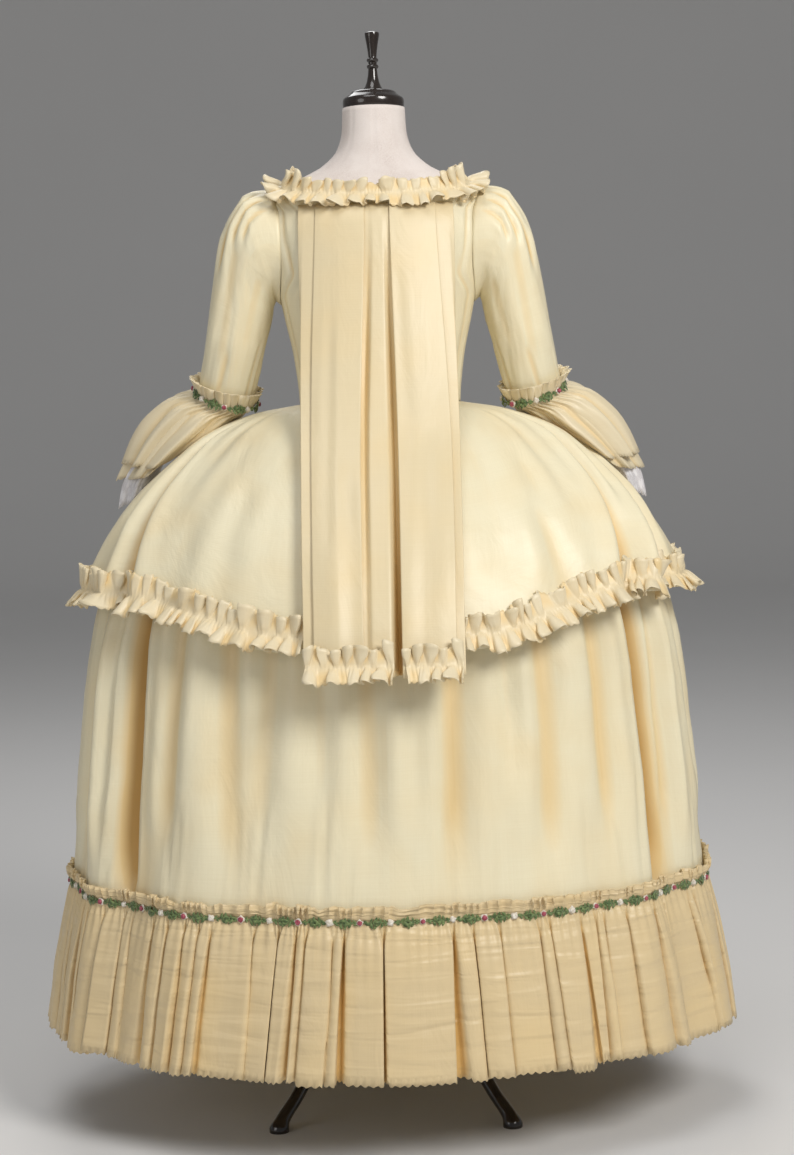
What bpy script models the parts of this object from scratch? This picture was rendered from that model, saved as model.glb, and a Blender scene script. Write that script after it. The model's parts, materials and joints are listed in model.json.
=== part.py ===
# A robe a la francaise on a dress form: a short gown with box pleats falling free
# from the back of the neck, over a petticoat with a gathered flounce.
# Metres, +Z up, the wearer faces -Y and the wearer's left is +X.
# The origin is on the floor, under the pole.
import math
import random
from collections import namedtuple

import bmesh
import bpy
from mathutils import Vector

# walls and seams
SILK = 0.0014
LACE = 0.0010
BRAID = 0.0022
SEAM = 0.0004
WELD = 0.00005

# the gown
WAIST_Z = 1.0965
BODICE_EASE = 0.0068
SHOULDER_EASE = 0.0099
SHOULDER_Z = 1.415
NAPE_Z = 1.424
NECK_SIDE_Z = 1.446
NECK_FRONT_Z = 1.335
NECK_FRONT_X = 0.092
OPENING_WAIST_X = 0.046
ARMHOLE_Z = 1.3385
ARMHOLE_HALF_HEIGHT = 0.0885
ARMHOLE_HALF_DEPTH = 0.068
PEPLUM_UNDER_TRAIN = 0.075
PEPLUM_FRONT_WAIST = math.radians(158.0)
PEPLUM_FRONT_HEM = math.radians(117.0)
CLOSER_AT_TOP = 1.4

# the petticoat
BAND_TOP_Z = 1.084
BAND_BOTTOM_Z = 1.068
GATHER_Z = 0.362
GATHER_DOWN = 0.98
HEADING = 0.021
HEM_Z = 0.141
FLOUNCE_WAVES = 60

# columns and rows of the panels' grids
BACK_GRID = (20, 10)
FRONT_GRID = (8, 12)
STOMACHER_GRID = (8, 8)
PEPLUM_GRID = (22, 8)
SLEEVE_GRID = (16, 9)
PETTICOAT_COLUMNS = 60
TORSO_COLUMNS = 24

# frills
FRILL_HALF = 0.029
FRILL_CORNER = 0.042
FRILL_LIFT = 0.0105
FRILL_SWING = 0.0055
NECK_FRILL_HALF = 0.025
NECK_FRILL_LIFT = 0.013
FRONT_FRILL_HALF = 0.017
TRAIN_FRILL_HALF = 0.028
TRAIN_FRILL_DOWN = 0.975
PEPLUM_WAVES = 26
NECK_WAVES = 16
FRONT_WAVES = 7
TRAIN_WAVES = 5
ELBOW_WAVES = 4
ELBOW_SWING = 0.12
ELBOW_STEP = 0.125

# the dress form
TORSO_BOTTOM_Z = 0.880
TORSO_TOP_Z = 1.548
CAP_TOP_Z = 1.574
POLE_RADIUS = 0.0125
HUB_TOP_Z = 0.160
HUB_BOTTOM_Z = 0.085
HUB_RADIUS = 0.032
LEGS = 4

Section = namedtuple("Section", "z half_width back front squareness")
Skirt = namedtuple("Skirt", "down z half_width back front")
Fall = namedtuple("Fall", "down z y bow half_width")
Pleat = namedtuple("Pleat", "x_top x_hem lift_top lift_waist lift_hem")
Sleeve = namedtuple("Sleeve", "down outer_x outer_z inner_x inner_z y half_depth back_drop")
Fold = namedtuple("Fold", "angle width depth")
Turned = namedtuple("Turned", "down z radius")
Leg = namedtuple("Leg", "down reach z half_size tilt")
Gather = namedtuple("Gather", "z lift swing")

TORSO = [
    Section(0.880, 0.136, 0.110, 0.098, 2.2),
    Section(0.960, 0.150, 0.122, 0.104, 2.2),
    Section(1.030, 0.141, 0.110, 0.097, 2.2),
    Section(1.095, 0.118, 0.092, 0.088, 2.2),
    Section(1.160, 0.124, 0.096, 0.100, 2.3),
    Section(1.230, 0.138, 0.104, 0.122, 2.4),
    Section(1.290, 0.150, 0.110, 0.130, 2.5),
    Section(1.350, 0.158, 0.106, 0.112, 2.5),
    Section(1.395, 0.158, 0.092, 0.088, 2.4),
    Section(1.422, 0.146, 0.080, 0.074, 2.3),
    Section(1.443, 0.114, 0.068, 0.062, 2.1),
    Section(1.460, 0.082, 0.060, 0.056, 2.0),
    Section(1.485, 0.058, 0.053, 0.052, 2.0),
    Section(1.512, 0.050, 0.050, 0.050, 2.0),
    Section(1.548, 0.048, 0.049, 0.049, 2.0),
]

PETTICOAT = [
    Skirt(0.05, 1.060, 0.196, 0.138, 0.128),
    Skirt(0.14, 1.030, 0.262, 0.176, 0.163),
    Skirt(0.25, 0.975, 0.335, 0.218, 0.198),
    Skirt(0.38, 0.895, 0.398, 0.258, 0.238),
    Skirt(0.52, 0.800, 0.436, 0.294, 0.273),
    Skirt(0.66, 0.690, 0.459, 0.322, 0.306),
    Skirt(0.80, 0.560, 0.474, 0.342, 0.330),
    Skirt(0.92, 0.440, 0.486, 0.358, 0.350),
    Skirt(GATHER_DOWN, GATHER_Z, 0.495, 0.369, 0.363),
    Skirt(1.00, 0.350, 0.4955, 0.3695, 0.3635),
]

# where the petticoat's rows lie, from the waistband to just under the gathers
PETTICOAT_DOWNS = [0.0, 0.025, 0.05, 0.14, 0.28, 0.48, 0.74, GATHER_DOWN, 1.0]

# the flounce's rows: its heading, its gathers, and its fall to the hem
FLOUNCE_ROWS = [
    Gather(GATHER_Z + HEADING, 0.0090, 0.0030),
    Gather(GATHER_Z, 0.0, 0.0),
    Gather(0.290, 0.0170, 0.0090),
    Gather(HEM_Z, 0.0440, 0.0125),
]

PEPLUM = [
    Skirt(0.00, 1.0960, 0.1248, 0.0988, 0.0948),
    Skirt(0.10, 1.084, 0.193, 0.132, 0.122),
    Skirt(0.22, 1.058, 0.257, 0.172, 0.157),
    Skirt(0.36, 1.016, 0.313, 0.212, 0.190),
    Skirt(0.52, 0.958, 0.376, 0.254, 0.226),
    Skirt(0.70, 0.892, 0.426, 0.292, 0.262),
    Skirt(0.86, 0.828, 0.459, 0.322, 0.290),
    Skirt(1.00, 0.770, 0.479, 0.345, 0.312),
    Skirt(1.10, 0.728, 0.490, 0.358, 0.325),
]

TRAIN = [
    Fall(0.00, 1.396, 0.1020, 0.0172, 0.109),
    Fall(0.04, 1.372, 0.1138, 0.0180, 0.110),
    Fall(0.09, 1.340, 0.1222, 0.0190, 0.111),
    Fall(0.20, 1.260, 0.138, 0.017, 0.114),
    Fall(0.34, 1.160, 0.162, 0.012, 0.117),
    Fall(0.48, 1.060, 0.203, 0.008, 0.118),
    Fall(0.62, 0.960, 0.270, 0.006, 0.117),
    Fall(0.77, 0.860, 0.327, 0.005, 0.116),
    Fall(0.89, 0.780, 0.362, 0.005, 0.115),
    Fall(1.00, 0.712, 0.384, 0.006, 0.115),
]

# the box pleats of the train from the wearer's left to right: x in half widths
PLEATS = [
    Pleat(1.07, 0.90, 0.0000, -0.006, -0.010),
    Pleat(1.00, 1.00, 0.0002, 0.000, 0.000),
    Pleat(0.84, 0.87, 0.0004, 0.002, 0.002),
    Pleat(0.82, 0.85, 0.0014, 0.007, 0.007),
    Pleat(0.50, 0.50, 0.0016, 0.010, 0.010),
    Pleat(0.17, 0.12, 0.0014, 0.007, 0.007),
    Pleat(0.13, 0.02, 0.0002, -0.014, 0.001),
    Pleat(0.06, -0.04, 0.0010, 0.002, 0.006),
    Pleat(-0.10, -0.12, 0.0010, 0.004, 0.006),
    Pleat(-0.16, -0.19, 0.0002, -0.018, -0.036),
    Pleat(-0.20, -0.24, 0.0014, 0.007, 0.008),
    Pleat(-0.50, -0.55, 0.0016, 0.010, 0.012),
    Pleat(-0.81, -0.88, 0.0014, 0.007, 0.007),
    Pleat(-0.83, -0.90, 0.0004, 0.002, 0.002),
    Pleat(-1.00, -1.00, 0.0002, 0.000, 0.000),
    Pleat(-1.07, -0.90, 0.0000, -0.006, -0.010),
]

# the sleeve below the armhole: the outer and inner edges as seen from behind
SLEEVE = [
    Sleeve(0.15, 0.205, 1.416, 0.1575, 1.256, 0.000, 0.069, 0.000),
    Sleeve(0.32, 0.231, 1.376, 0.161, 1.247, 0.000, 0.064, 0.000),
    Sleeve(0.48, 0.247, 1.322, 0.163, 1.236, 0.001, 0.058, 0.000),
    Sleeve(0.63, 0.257, 1.266, 0.167, 1.218, 0.002, 0.054, 0.000),
    Sleeve(0.77, 0.266, 1.212, 0.177, 1.186, 0.002, 0.050, 0.003),
    Sleeve(0.89, 0.275, 1.166, 0.187, 1.146, -0.007, 0.047, 0.010),
    Sleeve(1.00, 0.283, 1.126, 0.1975, 1.104, -0.021, 0.044, 0.017),
]

# the layers that hang from the elbow, one inside the other
ELBOW = [
    Sleeve(-0.6, 0.290, 1.142, 0.188, 1.118, -0.014, 0.052, 0.014),
    Sleeve(0.0, 0.2864, 1.1215, 0.1959, 1.0975, -0.022, 0.0460, 0.018),
    Sleeve(1.0, 0.322, 1.110, 0.213, 1.090, -0.037, 0.058, 0.020),
    Sleeve(2.0, 0.356, 1.081, 0.246, 1.069, -0.055, 0.070, 0.022),
    Sleeve(3.0, 0.382, 1.046, 0.284, 1.048, -0.072, 0.078, 0.022),
    Sleeve(4.0, 0.399, 1.014, 0.314, 1.033, -0.085, 0.081, 0.020),
    Sleeve(5.0, 0.414, 0.988, 0.334, 1.020, -0.094, 0.079, 0.018),
    Sleeve(6.0, 0.422, 0.962, 0.347, 1.006, -0.101, 0.074, 0.016),
    Sleeve(7.0, 0.427, 0.936, 0.354, 0.990, -0.106, 0.068, 0.014),
]

# where the rows of each layer lie on it
ELBOW_UPPER = [-0.6, 0.0, 0.9, 2.4, 4.0]
ELBOW_LOWER = [0.12, 0.9, 2.4, 4.0, 5.0]
ELBOW_LACE = [0.24, 0.9, 2.4, 4.0, 5.0, 7.0]

# deep folds that fall from the waist: angle from the centre back, in degrees
PEPLUM_FOLDS = {
    1: [Fold(30.0, 10.0, 0.004), Fold(66.0, 9.0, 0.009), Fold(90.0, 9.0, 0.012)],
    -1: [Fold(38.0, 9.0, 0.005), Fold(60.0, 8.0, 0.014), Fold(79.0, 8.0, 0.016), Fold(99.0, 8.0, 0.012)],
}
PETTICOAT_FOLDS = [
    Fold(24.0, 8.0, 0.006), Fold(52.0, 7.0, 0.014), Fold(76.0, 8.0, 0.008),
    Fold(118.0, 8.0, 0.010), Fold(150.0, 9.0, 0.008), Fold(-12.0, 8.0, 0.005),
    Fold(-40.0, 8.0, 0.007), Fold(-58.0, 7.0, 0.014), Fold(-84.0, 8.0, 0.008),
    Fold(-125.0, 9.0, 0.010), Fold(-155.0, 9.0, 0.007),
]

FINIAL = [
    Turned(0.00, 1.6640, 0.0055), Turned(0.05, 1.6620, 0.0110), Turned(0.20, 1.6480, 0.0095),
    Turned(0.42, 1.6260, 0.0062), Turned(0.48, 1.6210, 0.0090), Turned(0.54, 1.6160, 0.0064),
    Turned(0.60, 1.6110, 0.0090), Turned(0.66, 1.6060, 0.0066), Turned(0.85, 1.5880, 0.0100),
    Turned(1.00, CAP_TOP_Z + SEAM, 0.0165),
]
CAP = [
    Turned(0.00, CAP_TOP_Z, 0.0300), Turned(0.15, 1.5715, 0.0350), Turned(0.35, 1.5660, 0.0400),
    Turned(0.50, 1.5635, 0.0462), Turned(0.80, 1.5560, 0.0470), Turned(1.00, TORSO_TOP_Z + SEAM, 0.0465),
]
POLE = [Turned(0.0, TORSO_BOTTOM_Z - SEAM, POLE_RADIUS), Turned(1.0, HUB_TOP_Z + SEAM, POLE_RADIUS)]
HUB = [
    Turned(0.00, HUB_TOP_Z, 0.0200), Turned(0.15, 0.1560, 0.0270), Turned(0.25, 0.1500, HUB_RADIUS),
    Turned(0.80, 0.1050, HUB_RADIUS), Turned(0.90, 0.0950, 0.0240), Turned(1.00, HUB_BOTTOM_Z, 0.0120),
]
LEG = [
    Leg(0.00, HUB_RADIUS + 0.0006, 0.127, 0.0135, 0.0), Leg(0.20, 0.080, 0.130, 0.0130, 4.0),
    Leg(0.40, 0.130, 0.116, 0.0120, 24.0), Leg(0.60, 0.178, 0.082, 0.0108, 42.0),
    Leg(0.78, 0.215, 0.042, 0.0100, 50.0), Leg(0.92, 0.243, 0.016, 0.0115, 70.0),
    Leg(0.96, 0.250, 0.0060, 0.0150, 90.0), Leg(1.00, 0.250, 0.0, 0.0150, 90.0),
]

COLOURS = {
    "silk": ((0.86, 0.77, 0.56), 0.45, 0.0),
    "lace": ((0.86, 0.83, 0.82), 0.80, 0.0),
    "braid": ((0.20, 0.34, 0.14), 0.75, 0.0),
    "form_cloth": ((0.78, 0.70, 0.65), 0.85, 0.0),
    "black_wood": ((0.015, 0.011, 0.010), 0.25, 0.0),
}


def between(table, key):
    # one row of a table at any key, smooth between its rows and never past them
    keys = [row[0] for row in table]
    key = min(max(key, min(keys[0], keys[-1])), max(keys[0], keys[-1]))
    last = len(table) - 2
    k = next((i for i in range(last) if min(keys[i], keys[i + 1]) <= key <= max(keys[i], keys[i + 1])), last)
    span = keys[k + 1] - keys[k]
    t = (key - keys[k]) / span
    values = [key]
    for column in range(1, len(table[0])):
        slopes = [(b[column] - a[column]) / (b[0] - a[0]) for a, b in zip(table, table[1:])]
        ends = [slopes[0]] + [2 * a * b / (a + b) if a * b > 0 else 0.0 for a, b in zip(slopes, slopes[1:])]
        ends.append(slopes[-1])
        low, high = table[k][column], table[k + 1][column]
        values.append(
            (2 * t**3 - 3 * t**2 + 1) * low
            + (t**3 - 2 * t**2 + t) * span * ends[k]
            + (3 * t**2 - 2 * t**3) * high
            + (t**3 - t**2) * span * ends[k + 1]
        )
    return type(table[0])(*values)


def blend(low, high, t):
    return low + (high - low) * t


def ease(low, high, value):
    t = min(max((value - low) / (high - low), 0.0), 1.0)
    return t * t * (3.0 - 2.0 * t)


def oval(angle, half_width, back, front, squareness=2.0):
    # a point of an oval section; the angle runs from the centre back to the wearer's left
    power = 2.0 / squareness
    side, depth = math.sin(angle), math.cos(angle)
    x = half_width * math.copysign(abs(side) ** power, side)
    y = (back if depth > 0 else front) * math.copysign(abs(depth) ** power, depth)
    return x, y


def angle_at(x, half_width, squareness=2.0):
    return math.asin(min(1.0, (x / half_width) ** (squareness / 2.0)))


def torso_point(angle, z, out=0.0):
    cut = between(TORSO, z)
    x, y = oval(angle, cut.half_width + out, cut.back + out, cut.front + out, cut.squareness)
    return Vector((x, y, z))


def bodice_ease(z):
    return blend(BODICE_EASE, SHOULDER_EASE, ease(SHOULDER_Z - 0.03, SHOULDER_Z + 0.02, z))


def bodice_point(angle, z, out=0.0):
    return torso_point(angle, z, bodice_ease(z) + out)


def armhole_reach(z):
    # how far round from the centre the bodice reaches, as its edge follows the armhole
    below = ease(1.300, 1.258, z)
    above = ease(1.392, 1.430, z)
    return blend(math.radians(61.0), math.radians(89.55), max(below, above))


def bodice_back_place(u, v):
    turn = 2.0 * u - 1.0
    v = v**CLOSER_AT_TOP
    top = blend(NAPE_Z, NECK_SIDE_Z, turn * turn)
    z = blend(top, WAIST_Z, v)
    edge_z = blend(NECK_SIDE_Z, WAIST_Z, v)
    return bodice_point(turn * armhole_reach(edge_z), z)


def front_edge_x(z):
    return blend(OPENING_WAIST_X, NECK_FRONT_X, ease(WAIST_Z - 0.05, NECK_FRONT_Z, z))


def bodice_front_place(u, v):
    v = v**CLOSER_AT_TOP
    side_z = blend(NECK_SIDE_Z, WAIST_Z, v)
    edge_z = blend(NECK_FRONT_Z, WAIST_Z, v)
    z = blend(side_z, edge_z, u**0.8)
    cut = between(TORSO, edge_z)
    start = math.pi - armhole_reach(side_z)
    end = math.pi - angle_at(front_edge_x(edge_z), cut.half_width + BODICE_EASE, cut.squareness)
    return bodice_point(blend(start, end, u), z)


def stomacher_place(u, v):
    z = blend(NECK_FRONT_Z + 0.004, WAIST_Z, v)
    cut = between(TORSO, z)
    under = front_edge_x(z) + 0.012
    reach = angle_at(under, cut.half_width, cut.squareness)
    return bodice_point(math.pi + blend(-reach, reach, u), z, -SILK - 4 * SEAM)


def fold_depth(folds, angle, side=1):
    # inward troughs, each with a low ridge beside it
    degrees = math.degrees(angle)
    total = 0.0
    for fold in folds:
        off = (degrees - side * fold.angle) / fold.width
        total += fold.depth * (0.5 * math.exp(-((off - 1.4) ** 2)) - math.exp(-off * off))
    return total


def peplum_reach(angle):
    # the hem is longest at the back and shorter over the sides
    return blend(1.035, 0.925, ease(math.radians(28.0), math.radians(56.0), angle))


def peplum_place(side):
    def place(u, v):
        cut = between(PEPLUM, v)
        start = angle_at(PEPLUM_UNDER_TRAIN, cut.half_width)
        end = blend(PEPLUM_FRONT_WAIST, PEPLUM_FRONT_HEM, v**0.8)
        angle = blend(start, end, u)
        cut = between(PEPLUM, v * peplum_reach(angle))
        out = fold_depth(PEPLUM_FOLDS[side], angle) * ease(0.12, 0.9, v)
        square = blend(2.2, 2.0, ease(0.0, 0.2, v))
        x, y = oval(angle, cut.half_width + out, cut.back + out, cut.front + out, square)
        return Vector((x, y, cut.z))

    return place


def petticoat_point(angle, down, out=0.0):
    angle = math.remainder(angle, math.tau)
    if down < PETTICOAT[0].down:
        z = blend(BAND_TOP_Z, BAND_BOTTOM_Z, 2.0 * down / PETTICOAT[0].down)
        return torso_point(angle, z, SILK + 2 * SEAM)
    cut = between(PETTICOAT, down)
    out += fold_depth(PETTICOAT_FOLDS, angle) * ease(0.30, 0.95, down)
    x, y = oval(angle, cut.half_width + out, cut.back + out, cut.front + out)
    return Vector((x, y, cut.z))


def petticoat_place(u, v):
    row = round(v * (len(PETTICOAT_DOWNS) - 1))
    return petticoat_point(u * math.tau, PETTICOAT_DOWNS[row])


def facet_point(place, columns, u):
    # a point of the flat facets between a panel's own columns
    step = u * columns
    low = math.floor(step)
    return place(low / columns).lerp(place((low + 1) / columns), step - low)


def gather_line(u):
    # the petticoat's facets at the gathering line, and the way out of them
    base = facet_point(lambda k: petticoat_point(k * math.tau, GATHER_DOWN), PETTICOAT_COLUMNS, u)
    cut = between(PETTICOAT, GATHER_DOWN)
    return base, Vector((base.x / cut.half_width**2, base.y / cut.back**2, 0.0)).normalized()


def flounce_place(u, v):
    row = FLOUNCE_ROWS[round(v * (len(FLOUNCE_ROWS) - 1))]
    wave = round(u * FLOUNCE_WAVES * 2)
    pick = random.Random(wave % (FLOUNCE_WAVES * 2))
    turn = (1 if wave % 2 else -1) * pick.uniform(0.6, 1.3)
    base, way = gather_line(u + pick.uniform(-0.1, 0.1) * row.swing / FLOUNCE_WAVES / HEADING)
    point = base + way * (SILK + 2 * SEAM + row.lift + row.swing * turn)
    point.z = row.z
    return point


def braid_place(u, v):
    base, way = gather_line(u)
    point = base + way * (SILK + 7 * SEAM + BRAID)
    point.z = GATHER_Z + blend(0.0025, -0.0025, v)
    return point


def train_point(x_share, lift, down):
    cut = between(TRAIN, down)
    return Vector((x_share * cut.half_width, cut.y - cut.bow * x_share**2 + lift, cut.z))


def train_place(u, v):
    pleat = PLEATS[len(PLEATS) - 1 - round(u * (len(PLEATS) - 1))]
    down = TRAIN[round(v * (len(TRAIN) - 1))].down
    share = blend(pleat.x_top, pleat.x_hem, ease(0.0, 0.6, down))
    lift = blend(pleat.lift_top, pleat.lift_waist, ease(0.0, 0.42, down))
    lift = blend(lift, pleat.lift_hem, ease(0.42, 1.0, down))
    return train_point(share, lift, down)


def armhole_point(around, out):
    # the sleeve's edge, lapped over the armhole of the bodice
    y = ARMHOLE_HALF_DEPTH * math.cos(around)
    z = ARMHOLE_Z + ARMHOLE_HALF_HEIGHT * math.sin(around)
    cut = between(TORSO, z)
    grow = bodice_ease(z)
    share = abs(y) / ((cut.back if y > 0 else cut.front) + grow)
    x = (cut.half_width + grow) * (1.0 - share**cut.squareness) ** (1.0 / cut.squareness)
    return Vector((x + out, y, z))


def sleeve_ring(cut, around, grow=0.0, scale=1.0):
    # outer side at a quarter turn, back at nought
    middle = Vector(((cut.outer_x + cut.inner_x) / 2, cut.y, (cut.outer_z + cut.inner_z) / 2))
    across = Vector((cut.outer_x - cut.inner_x, 0.0, cut.outer_z - cut.inner_z)) / 2
    across += across.normalized() * grow
    back = Vector((0.0, cut.half_depth + grow, -cut.back_drop))
    return middle + (across * math.sin(around) + back * math.cos(around)) * scale


def sleeve_place(u, v):
    around = u * math.tau
    low = SLEEVE[0].down
    if v < low:
        seam = armhole_point(around, SILK + 4.5 * SEAM)
        return seam.lerp(sleeve_ring(SLEEVE[0], around), v / low)
    return sleeve_ring(between(SLEEVE, v), around)


def layer_place(downs, layer):
    # one layer of the elbow ruffles, inside the layer over it and waving with it
    def place(u, v):
        down = downs[round(v * (len(downs) - 1))]
        wave = math.cos(ELBOW_WAVES * u * math.tau + 0.6) * ELBOW_SWING * ease(0.1, 2.6, down)
        scale = (1.0 - ELBOW_STEP * layer) * (1.0 + wave)
        return sleeve_ring(between(ELBOW, down), u * math.tau, scale=scale)

    return place


def cuff_braid_place(u, v):
    return sleeve_ring(between(ELBOW, blend(-0.18, -0.03, v)), u * math.tau, 4.5 * SEAM + BRAID)


def material(name):
    found = bpy.data.materials.get(name)
    if found:
        return found
    colour, roughness, metallic = COLOURS[name]
    made = bpy.data.materials.new(name)
    made.use_nodes = True
    shader = made.node_tree.nodes["Principled BSDF"]
    shader.inputs["Base Color"].default_value = (*colour, 1.0)
    shader.inputs["Roughness"].default_value = roughness
    shader.inputs["Metallic"].default_value = metallic
    return made


def sheet(place, columns, rows):
    # a grid laid on a surface: u runs across it and v from its top to its hem
    bm = bmesh.new()
    bmesh.ops.create_grid(bm, x_segments=columns, y_segments=rows, size=0.5)
    for vert in bm.verts:
        vert.co = place(vert.co.x + 0.5, vert.co.y + 0.5)
    bmesh.ops.remove_doubles(bm, verts=bm.verts, dist=WELD)
    bmesh.ops.triangulate(bm, faces=bm.faces, quad_method="FIXED")
    return bm


def finish(bm, name, slot):
    mesh = bpy.data.meshes.new(name)
    bm.to_mesh(mesh)
    bm.free()
    mesh.shade_smooth()
    mesh.set_sharp_from_angle(angle=math.radians(40.0))
    mesh.materials.append(material(slot))
    piece = bpy.data.objects.new(name, mesh)
    bpy.context.collection.objects.link(piece)
    return piece


def cloth(name, place, columns, rows, wall=SILK, slot="silk", side=1):
    # a wall of cloth whose outer face is the surface given, or its mirror image
    bm = sheet(place, columns, rows)
    if side < 0:
        bmesh.ops.scale(bm, verts=bm.verts, vec=(-1.0, 1.0, 1.0))
        bmesh.ops.reverse_faces(bm, faces=bm.faces)
    piece = finish(bm, name, slot)
    thick = piece.modifiers.new("wall", "SOLIDIFY")
    thick.thickness = wall
    thick.offset = -1.0
    thick.use_even_offset = True
    thick.use_quality_normals = True
    return piece


def solid(name, place, columns, rows, slot):
    # a closed body of rings, with flat ends
    bm = sheet(place, columns, rows)
    bmesh.ops.holes_fill(bm, edges=[edge for edge in bm.edges if edge.is_boundary])
    bmesh.ops.recalc_face_normals(bm, faces=bm.faces)
    return finish(bm, name, slot)


def turned_place(profile):
    def place(u, v):
        cut = profile[round(v * (len(profile) - 1))]
        return Vector((cut.radius * math.sin(u * math.tau), cut.radius * math.cos(u * math.tau), cut.z))

    return place


def leg_place(heading):
    def place(u, v):
        cut = LEG[round(v * (len(LEG) - 1))]
        tilt = math.radians(cut.tilt)
        up = Vector((math.sin(tilt), 0.0, math.cos(tilt)))
        side = Vector((0.0, 1.0, 0.0))
        point = Vector((cut.reach, 0.0, cut.z))
        point += up * cut.half_size * math.cos(u * math.tau) + side * cut.half_size * math.sin(u * math.tau)
        turn_x = point.x * math.cos(heading) - point.y * math.sin(heading)
        turn_y = point.x * math.sin(heading) + point.y * math.cos(heading)
        return Vector((turn_x, turn_y, point.z))

    return place


def facet_of(place, columns, rows, u, v):
    # a point of the flat facets of a panel
    upper = min(math.floor(v * rows), rows - 1)
    left = min(math.floor(u * columns), columns - 1)
    across, down = u * columns - left, v * rows - upper

    def corner(i, j):
        return place((left + i) / columns, (upper + j) / rows)

    return corner(0, 0).lerp(corner(1, 0), across).lerp(corner(0, 1).lerp(corner(1, 1), across), down)


def outward(place, u, v, step=0.01):
    across = place(min(1.0, u + step), v) - place(max(0.0, u - step), v)
    down = place(u, min(1.0, v + step)) - place(u, max(0.0, v - step))
    return across.cross(down).normalized()


def route_on(place, columns, rows, marks):
    # points of a panel with the way out of it, at marks given as shares across and down
    return [(facet_of(place, columns, rows, u, v), outward(place, u, v)) for u, v in marks]


def frill_place(route, waves, half_width, seed, lift=FRILL_LIFT, clear=4 * SEAM):
    # a strip gathered along its middle, which follows the route on its panel
    lengths = [0.0]
    for a, b in zip(route, route[1:]):
        lengths.append(lengths[-1] + (b[0] - a[0]).length)

    def at(along):
        along = min(max(along, 0.0), lengths[-1])
        k = next(i for i in range(len(route) - 1) if along <= lengths[i + 1])
        t = (along - lengths[k]) / (lengths[k + 1] - lengths[k])
        return route[k][0].lerp(route[k + 1][0], t), route[k][1].lerp(route[k + 1][1], t).normalized()

    def place(u, v):
        count = round(u * waves * 2)
        pick = random.Random(seed * 1000 + count)
        point, out = at(u * lengths[-1])
        tangent = at(u * lengths[-1] + 0.008)[0] - at(u * lengths[-1] - 0.008)[0]
        up = tangent.cross(out).normalized()
        edge = 1.0 - 2.0 * v
        turn = (1 if count % 2 else -1) * pick.uniform(0.7, 1.25)
        away = clear + SILK + abs(edge) * (lift + FRILL_SWING * turn)
        return point + up * edge * half_width * pick.uniform(0.92, 1.06) + out * away

    return place


def peplum_route(place):
    # along the hem from beside the train, round the front corner and up the front edge
    def mark(from_edge, from_hem):
        tall = (place(0.9, 1.0) - place(0.9, 0.9)).length / 0.1
        v = 1.0 - from_hem / tall
        wide = (place(1.0, v) - place(0.96, v)).length / 0.04
        return 1.0 - from_edge / wide, v

    turn = FRILL_HALF + FRILL_CORNER
    corner_u, hem_v = mark(turn, FRILL_HALF)
    start = next(k / 100 for k in range(100) if place(k / 100, hem_v).x > TRAIN[-1].half_width + 0.012)
    marks = [(blend(start, corner_u, k / 20), hem_v) for k in range(20)]
    for k in range(9):
        angle = math.radians(k * 90.0 / 8)
        marks.append(mark(turn - FRILL_CORNER * math.sin(angle), turn - FRILL_CORNER * math.cos(angle)))
    top_v = marks[-1][1]
    for k in range(1, 13):
        v = blend(top_v, 0.16, k / 12)
        wide = (place(1.0, v) - place(0.96, v)).length / 0.04
        marks.append((1.0 - FRILL_HALF / wide, v))
    return marks


def neck_marks():
    # just under the edge of the back's neck, from shoulder to shoulder
    marks = []
    for k in range(25):
        turn = k / 12 - 1.0
        below = 0.014 - 0.006 * abs(turn) ** 3
        marks.append((0.5 + 0.47 * turn, (below / (NAPE_Z - WAIST_Z)) ** (1.0 / CLOSER_AT_TOP)))
    return marks


def front_route():
    # from the shoulder down the edge of the front to the waist
    route = []
    for k in range(17):
        z = blend(1.428, WAIST_Z + 0.022, k / 16)
        x = blend(front_edge_x(z) + 0.020, 0.126, ease(NECK_FRONT_Z, 1.425, z))
        cut = between(TORSO, z)
        angle = math.pi - angle_at(x, cut.half_width + bodice_ease(z), cut.squareness)
        out = bodice_point(angle, z, 0.01) - bodice_point(angle, z)
        route.append((bodice_point(angle, z), out.normalized()))
    return route


def train_route(first_share, last_share, lift):
    # across the foot of the train, square to its fall
    fall = train_point(0.0, 0.0, 1.0) - train_point(0.0, 0.0, TRAIN_FRILL_DOWN)
    out = Vector((0.0, -fall.z, fall.y)).normalized()
    shares = [blend(first_share, last_share, k / 12) for k in range(13)]
    return [(train_point(share, lift, TRAIN_FRILL_DOWN), out) for share in shares]


def build_form():
    heights = sorted([cut.z for cut in TORSO] + [BAND_TOP_Z, BAND_BOTTOM_Z], reverse=True)
    rows = len(heights) - 1

    def torso_place(u, v):
        return torso_point(u * math.tau, heights[round(v * rows)])

    solid("form_torso", torso_place, TORSO_COLUMNS, rows, "form_cloth")
    solid("form_cap", turned_place(CAP), 20, len(CAP) - 1, "black_wood")
    solid("form_finial", turned_place(FINIAL), 12, len(FINIAL) - 1, "black_wood")
    solid("form_pole", turned_place(POLE), 12, 1, "black_wood")
    solid("form_hub", turned_place(HUB), 16, len(HUB) - 1, "black_wood")
    for k in range(LEGS):
        heading = math.radians(45.0 + k * 360.0 / LEGS)
        solid(f"form_leg_{k + 1}", leg_place(heading), 8, len(LEG) - 1, "black_wood")


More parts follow.
